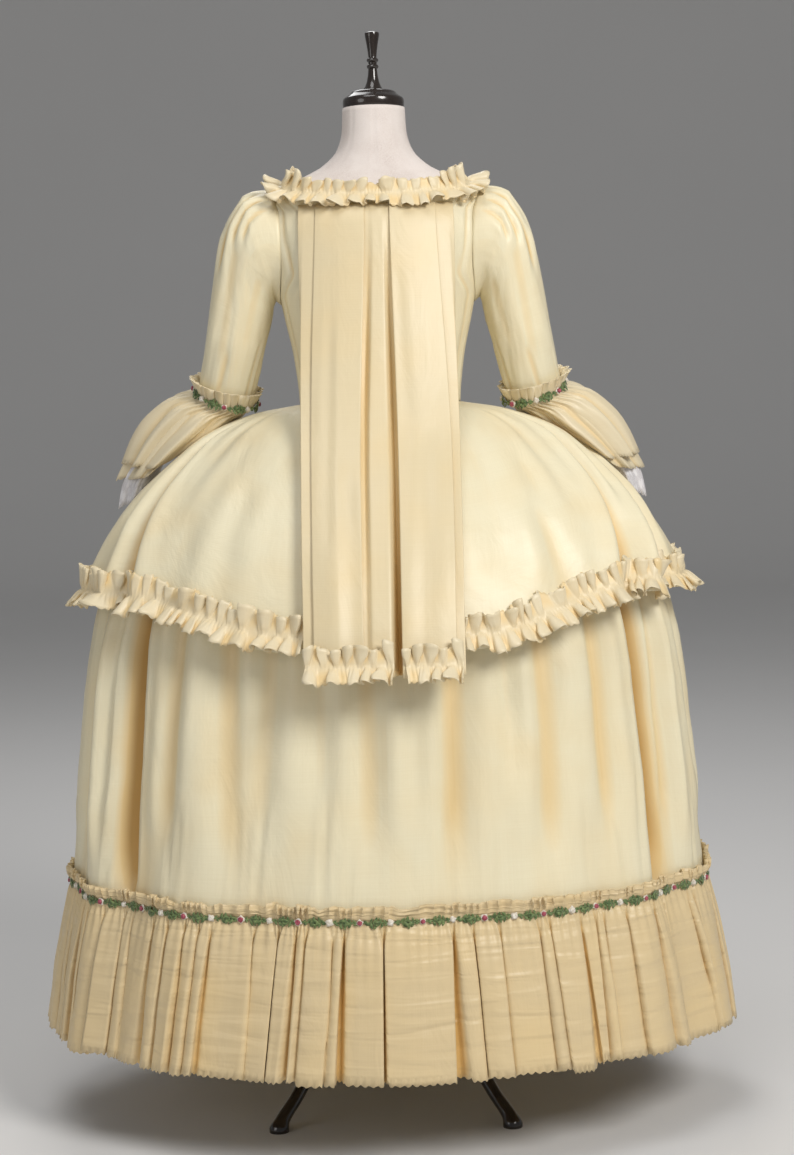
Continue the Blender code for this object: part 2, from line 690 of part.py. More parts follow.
def build_gown():
    cloth("bodice_back", bodice_back_place, *BACK_GRID)
    cloth("stomacher", stomacher_place, *STOMACHER_GRID)
    cloth("train", train_place, len(PLEATS) - 1, len(TRAIN) - 1)
    for side, name in ((1, "left"), (-1, "right")):
        peplum = peplum_place(side)
        cloth(f"bodice_front_{name}", bodice_front_place, *FRONT_GRID, side=side)
        cloth(f"peplum_{name}", peplum, *PEPLUM_GRID, side=side)
        cloth(f"sleeve_{name}", sleeve_place, *SLEEVE_GRID, side=side)
        layers = (("ruffle_upper", ELBOW_UPPER), ("ruffle_lower", ELBOW_LOWER), ("lace", ELBOW_LACE))
        for layer, (kind, downs) in enumerate(layers):
            wall, slot = (LACE, "lace") if kind == "lace" else (SILK, "silk")
            place = layer_place(downs, layer)
            cloth(f"elbow_{kind}_{name}", place, SLEEVE_GRID[0], len(downs) - 1, wall, slot, side)
        cloth(f"cuff_braid_{name}", cuff_braid_place, SLEEVE_GRID[0], 1, BRAID, "braid", side)
        route = route_on(peplum, *PEPLUM_GRID, peplum_route(peplum))
        hem = frill_place(route, PEPLUM_WAVES, FRILL_HALF, 3, clear=8.3 * SEAM)
        cloth(f"peplum_frill_{name}", hem, PEPLUM_WAVES * 2, 2, side=side)
        front = frill_place(front_route(), FRONT_WAVES, FRONT_FRILL_HALF, 5, clear=3.5 * SEAM)
        cloth(f"front_frill_{name}", front, FRONT_WAVES * 2, 2, side=side)
    route = route_on(bodice_back_place, *BACK_GRID, neck_marks())
    neck = frill_place(route, NECK_WAVES, NECK_FRILL_HALF, 7, NECK_FRILL_LIFT)
    cloth("neck_frill", neck, NECK_WAVES * 2, 2)
    for name, first, last, lift in (("right", -0.975, -0.26, 0.0112), ("left", -0.12, 0.975, 0.0095)):
        hem = frill_place(train_route(first, last, lift), TRAIN_WAVES, TRAIN_FRILL_HALF, 11)
        cloth(f"train_frill_{name}", hem, TRAIN_WAVES * 2, 2)


def build_petticoat():
    cloth("petticoat", petticoat_place, PETTICOAT_COLUMNS, len(PETTICOAT_DOWNS) - 1)
    cloth("petticoat_flounce", flounce_place, FLOUNCE_WAVES * 2, len(FLOUNCE_ROWS) - 1)
    cloth("petticoat_braid", braid_place, PETTICOAT_COLUMNS, 1, BRAID, "braid")


for old in list(bpy.data.objects):
    bpy.data.objects.remove(old, do_unlink=True)

build_form()
build_gown()
build_petticoat()
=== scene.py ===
import bisect
import functools
import json
import math
import random
from collections import namedtuple

import bmesh
import bpy
import numpy as np
from mathutils import Matrix, Vector, noise
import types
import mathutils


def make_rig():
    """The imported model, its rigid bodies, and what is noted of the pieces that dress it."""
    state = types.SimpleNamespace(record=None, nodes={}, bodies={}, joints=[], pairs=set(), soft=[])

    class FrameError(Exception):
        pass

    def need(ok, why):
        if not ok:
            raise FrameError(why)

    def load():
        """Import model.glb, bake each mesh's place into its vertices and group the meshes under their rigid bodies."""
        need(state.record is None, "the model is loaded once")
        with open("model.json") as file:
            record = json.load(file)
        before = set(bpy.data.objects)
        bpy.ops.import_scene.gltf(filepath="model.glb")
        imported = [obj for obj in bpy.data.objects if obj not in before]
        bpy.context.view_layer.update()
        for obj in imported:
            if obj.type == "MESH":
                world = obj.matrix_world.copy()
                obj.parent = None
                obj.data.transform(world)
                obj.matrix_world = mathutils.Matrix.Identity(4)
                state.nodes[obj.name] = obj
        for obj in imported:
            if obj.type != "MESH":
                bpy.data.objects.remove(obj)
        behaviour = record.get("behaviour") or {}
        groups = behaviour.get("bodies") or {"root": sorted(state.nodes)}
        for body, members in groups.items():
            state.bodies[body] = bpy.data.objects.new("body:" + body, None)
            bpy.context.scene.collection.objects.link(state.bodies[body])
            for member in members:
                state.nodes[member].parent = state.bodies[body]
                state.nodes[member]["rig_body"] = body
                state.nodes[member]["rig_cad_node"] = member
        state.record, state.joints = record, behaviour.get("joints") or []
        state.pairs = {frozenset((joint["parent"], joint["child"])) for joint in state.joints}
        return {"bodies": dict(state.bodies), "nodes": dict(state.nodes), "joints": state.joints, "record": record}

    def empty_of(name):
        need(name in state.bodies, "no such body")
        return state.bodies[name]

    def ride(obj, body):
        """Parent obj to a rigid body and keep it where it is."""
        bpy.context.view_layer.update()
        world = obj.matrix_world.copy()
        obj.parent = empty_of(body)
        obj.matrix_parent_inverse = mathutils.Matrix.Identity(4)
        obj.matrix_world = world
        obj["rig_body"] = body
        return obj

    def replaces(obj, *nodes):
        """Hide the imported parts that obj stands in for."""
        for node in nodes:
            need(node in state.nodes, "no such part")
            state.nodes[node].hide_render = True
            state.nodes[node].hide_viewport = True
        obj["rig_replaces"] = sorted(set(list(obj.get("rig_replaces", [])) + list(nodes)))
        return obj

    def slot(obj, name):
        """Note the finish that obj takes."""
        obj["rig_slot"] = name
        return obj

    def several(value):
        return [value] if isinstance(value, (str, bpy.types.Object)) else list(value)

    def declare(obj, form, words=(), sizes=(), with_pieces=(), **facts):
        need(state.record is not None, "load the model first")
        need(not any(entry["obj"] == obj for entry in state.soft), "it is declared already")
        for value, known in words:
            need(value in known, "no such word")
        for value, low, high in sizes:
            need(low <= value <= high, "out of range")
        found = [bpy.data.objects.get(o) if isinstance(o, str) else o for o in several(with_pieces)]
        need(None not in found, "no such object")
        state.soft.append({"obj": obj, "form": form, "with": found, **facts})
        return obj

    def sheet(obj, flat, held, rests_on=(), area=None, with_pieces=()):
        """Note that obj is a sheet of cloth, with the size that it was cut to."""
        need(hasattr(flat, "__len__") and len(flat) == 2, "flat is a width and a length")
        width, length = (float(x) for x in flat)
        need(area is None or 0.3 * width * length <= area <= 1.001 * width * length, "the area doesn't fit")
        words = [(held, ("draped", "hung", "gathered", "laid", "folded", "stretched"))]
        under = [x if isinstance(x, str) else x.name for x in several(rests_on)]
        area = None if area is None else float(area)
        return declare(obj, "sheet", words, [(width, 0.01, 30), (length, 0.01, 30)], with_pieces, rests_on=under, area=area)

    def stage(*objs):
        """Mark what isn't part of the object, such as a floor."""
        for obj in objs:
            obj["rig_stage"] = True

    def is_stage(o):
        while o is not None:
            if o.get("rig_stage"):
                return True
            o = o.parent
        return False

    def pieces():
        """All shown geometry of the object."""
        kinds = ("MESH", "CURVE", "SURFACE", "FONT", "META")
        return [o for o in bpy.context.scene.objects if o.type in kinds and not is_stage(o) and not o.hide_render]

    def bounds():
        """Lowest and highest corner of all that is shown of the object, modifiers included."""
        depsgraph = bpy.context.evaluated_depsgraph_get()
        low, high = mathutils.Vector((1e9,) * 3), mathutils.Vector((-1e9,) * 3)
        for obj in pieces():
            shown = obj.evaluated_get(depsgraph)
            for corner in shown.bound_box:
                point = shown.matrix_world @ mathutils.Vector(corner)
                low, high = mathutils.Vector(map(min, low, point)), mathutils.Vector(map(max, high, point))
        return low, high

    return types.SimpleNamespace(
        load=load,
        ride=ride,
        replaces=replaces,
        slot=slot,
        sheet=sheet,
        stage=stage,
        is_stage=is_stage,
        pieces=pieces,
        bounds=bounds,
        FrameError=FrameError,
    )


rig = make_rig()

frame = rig.load()
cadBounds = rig.bounds()
print("frame loaded:", len(frame["nodes"]), "nodes")

# The wearer faces -Y, the wearer's left is +X, and the train falls on the +Y side.
# Across a panel u runs clockwise as seen from above, and v runs from its top to its hem.

# reading tables and easing

def mix(low, high, t):
    return low + (high - low) * t


def smooth(low, high, value):
    t = min(max((value - low) / (high - low), 0.0), 1.0)
    return t * t * (3.0 - 2.0 * t)


def readTable(kind, rows):
    # a reader that runs smoothly through the rows and never past them
    rows = sorted(rows)
    keys = [row[0] for row in rows]
    columns = range(1, len(rows[0]))
    steps = [b - a for a, b in zip(keys, keys[1:])]
    slopes = {}
    for c in columns:
        run = [(b[c] - a[c]) / h for a, b, h in zip(rows, rows[1:], steps)]
        inner = [2 * p * q / (p + q) if p * q > 0 else 0.0 for p, q in zip(run, run[1:])]
        slopes[c] = [run[0]] + inner + [run[-1]]

    @functools.lru_cache(maxsize=20000)
    def at(key):
        key = min(max(key, keys[0]), keys[-1])
        k = min(max(bisect.bisect_right(keys, key) - 1, 0), len(keys) - 2)
        h = steps[k]
        t = (key - keys[k]) / h
        a, b = 1 - t * t * (3 - 2 * t), t * t * (3 - 2 * t)
        p, q = t * (1 - t) ** 2 * h, t * t * (t - 1) * h
        return kind(key, *(
            a * rows[k][c] + b * rows[k + 1][c] + p * slopes[c][k] + q * slopes[c][k + 1] for c in columns
        ))

    return at


def bell(off):
    return math.exp(-(off ** 2))


def oval(angle, halfWidth, back, front, squareness=2.0):
    # the angle runs from the centre back to the wearer's left
    power = 2.0 / squareness
    side, depth = math.sin(angle), math.cos(angle)
    x = halfWidth * math.copysign(abs(side) ** power, side)
    y = (back if depth > 0 else front) * math.copysign(abs(depth) ** power, depth)
    return x, y


def angleAt(x, halfWidth, squareness=2.0):
    return math.asin(min(1.0, (x / halfWidth) ** (squareness / 2.0)))


Fold = namedtuple("Fold", "at slant start end width spread depth lip")


def folds(*rows):
    return [Fold(*row) for row in rows]


def foldShade(depth, deepest):
    # painted shade of a fold: nought on a panel and one at the bottom of a deep fold
    return max(0.0, -depth / deepest)


def foldSum(troughs, across, down, wrap=None):
    # soft troughs with a lip on each side; each has its own place, slant, reach, width and depth
    total = 0.0
    for fold in troughs:
        length = fold.end - fold.start
        t = (down - fold.start) / length
        if t <= 0.0 or t >= 1.15:
            continue
        fading = 0.0 if fold.end >= 1.0 else smooth(0.82, 1.15, t)
        reach = smooth(0.0, 0.25, t) * (1.0 - fading)
        gap = across - fold.at - fold.slant * t
        if wrap:
            gap = math.remainder(gap, wrap)
        off = gap / (fold.width * mix(1.0, fold.spread, min(t, 1.0)))
        if abs(off) > 4.0:
            continue
        total += fold.depth * reach * (fold.lip * (bell(off - 1.7) + bell(off + 1.7)) - bell(off))
    return total


def crumple(u, v, scale, seed, height):
    # broad, slightly pulled dents of a crisp cloth
    dents = noise.noise(Vector((u * scale, v * scale * 0.6, seed)))
    fine = noise.noise(Vector((u * scale * 2.7, v * scale * 1.9, seed + 7.3)))
    return height * (dents + 0.35 * fine)


# the sizes that the pieces share

Section = namedtuple("Section", "z halfWidth back front squareness")
Skirt = namedtuple("Skirt", "down z halfWidth back front")
Fall = namedtuple("Fall", "down z y bow halfWidth")
Sleeve = namedtuple("Sleeve", "down outerX outerZ innerX innerZ y halfDepth backDrop")
hands = ((1, "Left"), (-1, "Right"))  # the sign of x on each side of the wearer

gown = {
    "waistZ": 1.0965, "ease": 0.0068, "shoulderEase": 0.0099, "shoulderZ": 1.415,
    "napeZ": 1.424, "neckSideZ": 1.446, "neckFrontZ": 1.335, "neckFrontX": 0.092, "openingWaistX": 0.046,
    "seam": 0.0004, "silk": 0.0009, "cadWall": 0.0014, "fullShadeDepth": 0.006, "dip": 0.004,
}

torsoAt = readTable(Section, [
    (0.880, 0.136, 0.110, 0.098, 2.2),
    (0.960, 0.150, 0.122, 0.104, 2.2),
    (1.030, 0.141, 0.110, 0.097, 2.2),
    (1.095, 0.118, 0.092, 0.088, 2.2),
    (1.160, 0.124, 0.096, 0.100, 2.3),
    (1.230, 0.138, 0.104, 0.122, 2.4),
    (1.290, 0.150, 0.110, 0.130, 2.5),
    (1.350, 0.158, 0.106, 0.112, 2.5),
    (1.395, 0.158, 0.092, 0.088, 2.4),
    (1.422, 0.146, 0.080, 0.074, 2.3),
    (1.443, 0.114, 0.068, 0.062, 2.1),
    (1.460, 0.082, 0.060, 0.056, 2.0),
    (1.485, 0.058, 0.053, 0.052, 2.0),
    (1.512, 0.050, 0.050, 0.050, 2.0),
    (1.548, 0.048, 0.049, 0.049, 2.0),
])


def torsoPoint(angle, z, out=0.0):
    cut = torsoAt(z)
    x, y = oval(angle, cut.halfWidth + out, cut.back + out, cut.front + out, cut.squareness)
    return Vector((x, y, z))


def bodiceEase(z):
    rise = smooth(gown["shoulderZ"] - 0.03, gown["shoulderZ"] + 0.02, z)
    return mix(gown["ease"], gown["shoulderEase"], rise)


def bodicePoint(angle, z, out=0.0):
    return torsoPoint(angle, z, bodiceEase(z) + out)


# materials

def newMaterial(name, colour, inputs):
    made = bpy.data.materials.new(name)
    made.use_nodes = True
    shader = made.node_tree.nodes["Principled BSDF"]
    shader.inputs["Base Color"].default_value = (*colour, 1.0)
    for key, value in inputs.items():
        shader.inputs[key].default_value = value
    return made, made.node_tree, shader


def addNode(tree, kind, inputs=None, **settings):
    node = tree.nodes.new(kind)
    for key, value in settings.items():
        setattr(node, key, value)
    for key, value in (inputs or {}).items():
        if isinstance(value, bpy.types.NodeSocket):
            tree.links.new(value, node.inputs[key])
        else:
            node.inputs[key].default_value = value
    return node


def mathNode(tree, operation, first, second):
    return addNode(tree, "ShaderNodeMath", {0: first, 1: second}, operation=operation).outputs[0]


def stretched(tree, source, scale, turn=0.0):
    inputs = {"Vector": source, "Scale": scale, "Rotation": (0, 0, turn)}
    return addNode(tree, "ShaderNodeMapping", inputs).outputs[0]


def noiseOver(tree, place, scale, detail=2.0, **more):
    inputs = {"Vector": place, "Scale": scale, "Detail": detail, **more}
    return addNode(tree, "ShaderNodeTexNoise", inputs).outputs[0]


def mixedColor(tree, factor, first, second):
    node = addNode(tree, "ShaderNodeMix", data_type="RGBA")
    for socket, value in ((node.inputs[0], factor), (node.inputs[6], first), (node.inputs[7], second)):
        if isinstance(value, bpy.types.NodeSocket):
            tree.links.new(value, socket)
        else:
            socket.default_value = (*value, 1.0) if isinstance(value, tuple) else value
    return node.outputs[2]


def ramped(tree, value, low, high, bottom=0.0, top=1.0):
    inputs = {"Value": value, "From Min": low, "From Max": high, "To Min": bottom, "To Max": top}
    return addNode(tree, "ShaderNodeMapRange", inputs, clamp=True).outputs[0]


def bumpOver(tree, height, strength, distance, below=None):
    inputs = {"Height": height, "Strength": strength, "Distance": distance}
    if below is not None:
        inputs["Normal"] = below
    return addNode(tree, "ShaderNodeBump", inputs).outputs[0]


def finishMaterial(made, tree, shader, colour, normal=None):
    tree.links.new(colour, shader.inputs["Base Color"])
    if normal is not None:
        tree.links.new(normal, shader.inputs["Normal"])
    return made


# the warm colour is both a random warm tone and the painted shade in the folds; the deep colour is painted shade at
# the bottom of deep folds
silkLook = {
    "lit": (0.84, 0.768, 0.55), "warmToneAndShade": (0.80, 0.60, 0.30), "deep": (0.60, 0.37, 0.12), "ribs": 80.0,
    "shader": {"Roughness": 0.40, "Specular IOR Level": 0.45, "Anisotropic": 0.5, "Sheen Weight": 0.10,
               "Sheen Roughness": 0.35, "Sheen Tint": (1.0, 0.93, 0.76, 1.0)},
}


def silkMaterial(name, lit, crumpleBump=0.25, pressBump=0.0):
    made, tree, shader = newMaterial(name, lit, silkLook["shader"])
    place = addNode(tree, "ShaderNodeUVMap", uv_map="cloth").outputs[0]
    # the fold attribute holds painted shade, nought on a panel and one at the bottom of a deep fold
    fold = addNode(tree, "ShaderNodeAttribute", attribute_name="fold").outputs["Fac"]
    # slubs run along both threads, the weft's being longer and stronger
    weft = noiseOver(tree, stretched(tree, place, (14, 900, 1)), 1.0, 3.0)
    warp = noiseOver(tree, stretched(tree, place, (1100, 9, 1)), 1.0)
    threads = mathNode(tree, "ADD", weft, warp)
    shade = tuple(c * k for c, k in zip(lit, (0.97, 0.96, 0.94)))
    body = mixedColor(tree, ramped(tree, threads, 0.75, 1.25), shade, lit)
    golden = mixedColor(tree, 0.35, body, silkLook["warmToneAndShade"])
    clouded = mixedColor(tree, ramped(tree, noiseOver(tree, place, 9.0), 0.42, 0.75), body, golden)
    # painted shade: golden in the folds, deep golden brown at the bottom of deep folds
    paintedFoldShade = mixedColor(tree, ramped(tree, fold, 0.12, 0.60), clouded, silkLook["warmToneAndShade"])
    colour = mixedColor(tree, ramped(tree, fold, 0.50, 1.05), paintedFoldShade, silkLook["deep"])
    # slubs, plain weave, soft dents, then the creases that pressing left
    normal = bumpOver(tree, threads, 0.08, 0.0004)
    waves = {"Vector": stretched(tree, place, (1.0, silkLook["ribs"], 1.0)), "Scale": 1.0,
             "Distortion": 0.6, "Detail": 1.0}
    ribs = addNode(tree, "ShaderNodeTexWave", waves, wave_type="BANDS", bands_direction="Y").outputs[0]
    normal = bumpOver(tree, ribs, 0.08, 0.0003, normal)
    dents = noiseOver(tree, stretched(tree, place, (16, 9, 1)), 1.0, 4.0, Roughness=0.55, Distortion=0.8)
    normal = bumpOver(tree, dents, crumpleBump, 0.012, normal)
    if pressBump:
        across = stretched(tree, place, (6, 52, 1), 0.05)
        press = noiseOver(tree, across, 1.0, Roughness=0.4, Distortion=0.5)
        normal = bumpOver(tree, press, pressBump, 0.010, normal)
    return finishMaterial(made, tree, shader, colour, normal)


def laceMaterial():
    made, tree, shader = newMaterial("white lace", (0.82, 0.80, 0.79), {"Roughness": 0.85})
    place = addNode(tree, "ShaderNodeUVMap", uv_map="cloth").outputs[0]
    net = addNode(tree, "ShaderNodeTexVoronoi", {"Vector": place, "Scale": 420.0}, feature="DISTANCE_TO_EDGE")
    sprigs = addNode(tree, "ShaderNodeTexVoronoi", {"Vector": place, "Scale": 70.0, "Randomness": 0.6})
    motif = ramped(tree, sprigs.outputs["Distance"], 0.52, 0.38)
    threads = mathNode(tree, "SUBTRACT", 1.0, ramped(tree, net.outputs[0], 0.02, 0.10))
    raised = mathNode(tree, "MAXIMUM", threads, motif)
    colour = mixedColor(tree, raised, (0.70, 0.67, 0.68), (0.88, 0.86, 0.87))
    return finishMaterial(made, tree, shader, colour, bumpOver(tree, raised, 0.4, 0.0006))


def solidMaterial(name, colour, **inputs):
    # a material that lies in the object's own space
    made, tree, shader = newMaterial(name, colour, inputs)
    return made, tree, shader, addNode(tree, "ShaderNodeTexCoord").outputs["Object"]


def formMaterial():
    made, tree, shader, place = solidMaterial("form cover", (0.63, 0.55, 0.51), Roughness=0.82)
    weave = noiseOver(tree, place, 900.0)
    wear = ramped(tree, noiseOver(tree, place, 22.0, 4.0), 0.40, 0.72)
    base = mixedColor(tree, wear, (0.74, 0.66, 0.61), (0.60, 0.51, 0.46))
    colour = mixedColor(tree, ramped(tree, weave, 0.3, 0.8), base, (0.80, 0.74, 0.70))
    return finishMaterial(made, tree, shader, colour, bumpOver(tree, weave, 0.25, 0.0005))


def woodMaterial():
    made, tree, shader, place = solidMaterial("black lacquer", (0.012, 0.009, 0.008), Roughness=0.16)
    shader.inputs["Coat Weight"].default_value = 0.6
    grain = noiseOver(tree, stretched(tree, place, (160, 160, 14)), 1.0, 3.0)
    rough = ramped(tree, noiseOver(tree, place, 60.0), 0.0, 1.0, 0.12, 0.26)
    tree.links.new(rough, shader.inputs["Roughness"])
    colour = mixedColor(tree, grain, (0.010, 0.007, 0.006), (0.030, 0.020, 0.015))
    return finishMaterial(made, tree, shader, colour, bumpOver(tree, grain, 0.06, 0.0006))


def ribbonMaterial(name, light, dark):
    made, tree, shader, place = solidMaterial(name, light, Roughness=0.55)
    shader.inputs["Sheen Weight"].default_value = 0.2
    mottle = noiseOver(tree, place, 260.0)
    colour = mixedColor(tree, ramped(tree, mottle, 0.35, 0.65), dark, light)
    return finishMaterial(made, tree, shader, colour, bumpOver(tree, mottle, 0.3, 0.0008))


looks = {
    "silk": silkMaterial("gown silk", silkLook["lit"]),
    # the train's silk is a darker, warmer copy of the gown silk; the darkening is painted shade
    "trainSilkPaintedShade": silkMaterial("train silk with painted shade", (0.75, 0.635, 0.41), 0.16),
    # the flounce's silk is a darker copy of the gown silk: painted shade for the light that falls off towards the hem
    "flounceSilkPaintedShade": silkMaterial("flounce silk with painted shade", (0.71, 0.565, 0.335), 0.28, 0.62),
    "frillSilk": silkMaterial("frill silk", (0.79, 0.69, 0.485), 0.10),
    "lace": laceMaterial(),
    "form": formMaterial(),
    "wood": woodMaterial(),
    "leaf": ribbonMaterial("leaf ribbon", (0.20, 0.27, 0.095), (0.06, 0.11, 0.03)),
    "whiteRose": ribbonMaterial("white rose ribbon", (0.86, 0.82, 0.74), (0.62, 0.55, 0.44)),
    "redRose": ribbonMaterial("red rose ribbon", (0.46, 0.10, 0.14), (0.25, 0.025, 0.05)),
}
print("materials made:", len(looks))


# making pieces

def finishPiece(bm, spec, material, wall=None, sharp=None):
    mesh = bpy.data.meshes.new(spec["name"])
    bm.to_mesh(mesh)
    bm.free()
    mesh.shade_smooth()
    if sharp:
        mesh.set_sharp_from_angle(angle=math.radians(sharp))
    mesh.materials.append(material)
    piece = bpy.data.objects.new(spec["name"], mesh)
    bpy.context.collection.objects.link(piece)
    if wall:
        thick = piece.modifiers.new("wall", "SOLIDIFY")
        thick.thickness = wall
        thick.offset = -1.0
    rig.ride(piece, "root")
    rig.replaces(piece, *spec["nodes"])
    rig.slot(piece, spec["slot"])
    return piece


def turnOver(bm):
    # the piece on the other side is the mirror image
    bmesh.ops.scale(bm, verts=bm.verts, vec=(-1.0, 1.0, 1.0))
    bmesh.ops.reverse_faces(bm, faces=bm.faces)


def clothPiece(spec, place, material, side=1):
    # a grid moved onto its form; place gives a point and how deep it lies in a fold, which is stored as painted shade
    bm = bmesh.new()
    bmesh.ops.create_grid(bm, x_segments=spec["columns"], y_segments=spec["rows"], size=0.5)
    uvLayer = bm.loops.layers.uv.new("cloth")
    width, length = spec["cut"]
    for face in bm.faces:
        for loop in face.loops:
            loop[uvLayer].uv = ((loop.vert.co.x + 0.5) * width, (0.5 - loop.vert.co.y) * length)
    # the fold attribute carries painted shade into the silk's colour
    paintedShadeLayer = bm.verts.layers.float.new("fold")
    for vert in bm.verts:
        vert.co, vert[paintedShadeLayer] = place(vert.co.x + 0.5, vert.co.y + 0.5)
    bmesh.ops.remove_doubles(bm, verts=bm.verts, dist=0.00003)
    if side < 0:
        turnOver(bm)
    area = sum(face.calc_area() for face in bm.faces)
    piece = finishPiece(bm, spec, material, spec.get("wall", gown["silk"]))
    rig.sheet(piece, flat=spec["cut"], held=spec["held"], rests_on=spec["restsOn"], area=spec.get("area"))
    faces, share = len(piece.data.polygons), area / (width * length)
    print(f"  {spec['name']}: {faces} faces, {area:.4f} square metres, {share:.2f} of the cut")


def turnedPiece(spec, rows, material, steps=48):
    # a profile of short edges spun round the upright axis; a row is a height and a radius
    bm = bmesh.new()
    points = [bm.verts.new((radius, 0.0, z)) for z, radius in rows]
    edges = [bm.edges.new(pair) for pair in zip(points, points[1:])]
    bmesh.ops.spin(bm, geom=points + edges, cent=(0, 0, 0), axis=(0, 0, 1), angle=math.tau, steps=steps,
                   use_merge=True)
    bmesh.ops.holes_fill(bm, edges=[edge for edge in bm.edges if edge.is_boundary])
    bmesh.ops.remove_doubles(bm, verts=bm.verts, dist=0.00001)
    bmesh.ops.recalc_face_normals(bm, faces=bm.faces)
    finishPiece(bm, spec, material, sharp=38)


# the dress form and its stand

form = {"name": "formTorso", "nodes": ["form_torso"], "slot": "form_cloth",
        "columns": 96, "top": 1.548, "bottom": 0.880, "rows": 110,
        "seams": (0, 42, 90, 138, 180, 222, 270, 318), "seamWidth": 1.6, "seamDepth": 0.0009}


def ringBody(spec, place, material, sharp=None):
    bm = bmesh.new()
    bmesh.ops.create_grid(bm, x_segments=spec["columns"], y_segments=spec["rows"], size=0.5)
    for vert in bm.verts:
        vert.co = place(vert.co.x + 0.5, vert.co.y + 0.5)
    bmesh.ops.remove_doubles(bm, verts=bm.verts, dist=0.00001)
    bmesh.ops.holes_fill(bm, edges=[edge for edge in bm.edges if edge.is_boundary])
    bmesh.ops.recalc_face_normals(bm, faces=bm.faces)
    finishPiece(bm, spec, material, sharp=sharp)


def formPlace(u, v):
    z = mix(form["top"], form["bottom"], v)
    degrees = u * 360.0
    groove = sum(bell(math.remainder(degrees - seam, 360.0) / form["seamWidth"]) for seam in form["seams"])
    return torsoPoint(u * math.tau, z, -form["seamDepth"] * groove)


ringBody(form, formPlace, looks["form"])

turnedPiece({"name": "neckCap", "nodes": ["form_cap"], "slot": "black_wood"}, [
    (1.5740, 0.0290), (1.5735, 0.0325), (1.5715, 0.0350), (1.5690, 0.0365),
    (1.5675, 0.0395), (1.5660, 0.0412), (1.5645, 0.0435), (1.5625, 0.0462),
    (1.5600, 0.0471), (1.5560, 0.0473), (1.5500, 0.0470), (1.5484, 0.0463),
], looks["wood"], 64)
turnedPiece({"name": "neckFinial", "nodes": ["form_finial"], "slot": "black_wood"}, [
    (1.6640, 0.0055), (1.6638, 0.0088), (1.6626, 0.0108), (1.6600, 0.0112),
    (1.6560, 0.0106), (1.6480, 0.0092), (1.6380, 0.0076), (1.6270, 0.0063),
    (1.6245, 0.0065), (1.6232, 0.0084), (1.6212, 0.0092), (1.6192, 0.0084),
    (1.6178, 0.0066), (1.6150, 0.0065), (1.6136, 0.0083), (1.6114, 0.0092),
    (1.6092, 0.0083), (1.6076, 0.0067), (1.5980, 0.0076), (1.5880, 0.0097),
    (1.5810, 0.0124), (1.5775, 0.0150), (1.5755, 0.0163), (1.5743, 0.0165),
], looks["wood"], 48)
turnedPiece({"name": "standPole", "nodes": ["form_pole"], "slot": "black_wood"}, [
    (0.8796, 0.0118), (0.8780, 0.0125), (0.2600, 0.0125), (0.2580, 0.0123),
    (0.1620, 0.0125), (0.1604, 0.0120),
], looks["wood"], 32)
turnedPiece({"name": "standHub", "nodes": ["form_hub"], "slot": "black_wood"}, [
    (0.1600, 0.0200), (0.1590, 0.0232), (0.1560, 0.0270), (0.1545, 0.0290),
    (0.1525, 0.0312), (0.1500, 0.0320), (0.1050, 0.0320), (0.1020, 0.0310),
    (0.0985, 0.0270), (0.0950, 0.0240), (0.0900, 0.0200), (0.0850, 0.0120),
], looks["wood"], 48)

Leg = namedtuple("Leg", "down reach z halfSize tilt")
legAt = readTable(Leg, [
    (0.00, 0.0326, 0.127, 0.0135, 0.0), (0.20, 0.080, 0.130, 0.0130, 4.0),
    (0.40, 0.130, 0.116, 0.0120, 24.0), (0.60, 0.178, 0.082, 0.0108, 42.0),
    (0.78, 0.215, 0.042, 0.0100, 50.0), (0.92, 0.243, 0.016, 0.0115, 70.0),
    (0.96, 0.250, 0.0060, 0.0150, 90.0), (1.00, 0.250, 0.0, 0.0150, 90.0),
])
legs = {"slot": "black_wood", "columns": 20, "rows": 50, "count": 4}


def legPlace(heading):
    turn = Matrix.Rotation(heading, 3, "Z")

    def place(u, v):
        cut = legAt(v)
        tilt = math.radians(cut.tilt)
        up = Vector((math.sin(tilt), 0.0, math.cos(tilt)))
        around = u * math.tau
        ring = up * cut.halfSize * math.cos(around) + Vector((0.0, cut.halfSize * math.sin(around), 0.0))
        return turn @ (Vector((cut.reach, 0.0, cut.z)) + ring)

    return place


for k in range(legs["count"]):
    legs.update(name=f"standLeg{k + 1}", nodes=[f"form_leg_{k + 1}"])
    ringBody(legs, legPlace(math.radians(45.0 + k * 360.0 / legs["count"])), looks["wood"], 50)
print("dress form made")


# the bodice

back = {"name": "bodiceBack", "nodes": ["bodice_back"], "slot": "silk", "columns": 110, "rows": 80,
        "cut": (0.36, 0.36), "held": "stretched", "restsOn": ["formTorso"], "closerAtTop": 1.4,
        "seamAt": 0.80, "seamWidth": 0.012, "seamDepth": 0.0008, "crumple": 0.0010,
        "armholeFoot": (1.258, 1.300), "armholeHead": (1.392, 1.430), "armholeEdge": 65.0, "sideSeam": 89.55}
backFolds = folds(
    (0.90, -0.10, 0.10, 0.55, 0.030, 1.6, 0.0022, 0.4), (0.76, 0.05, 0.30, 1.0, 0.035, 1.2, 0.0018, 0.4),
    (0.62, 0.00, 0.05, 0.60, 0.025, 1.0, 0.0012, 0.4), (-0.88, 0.12, 0.08, 0.60, 0.030, 1.5, 0.0022, 0.4),
    (-0.70, -0.06, 0.35, 1.0, 0.040, 1.2, 0.0018, 0.4), (-0.58, 0.02, 0.02, 0.45, 0.022, 1.0, 0.0013, 0.4),
)


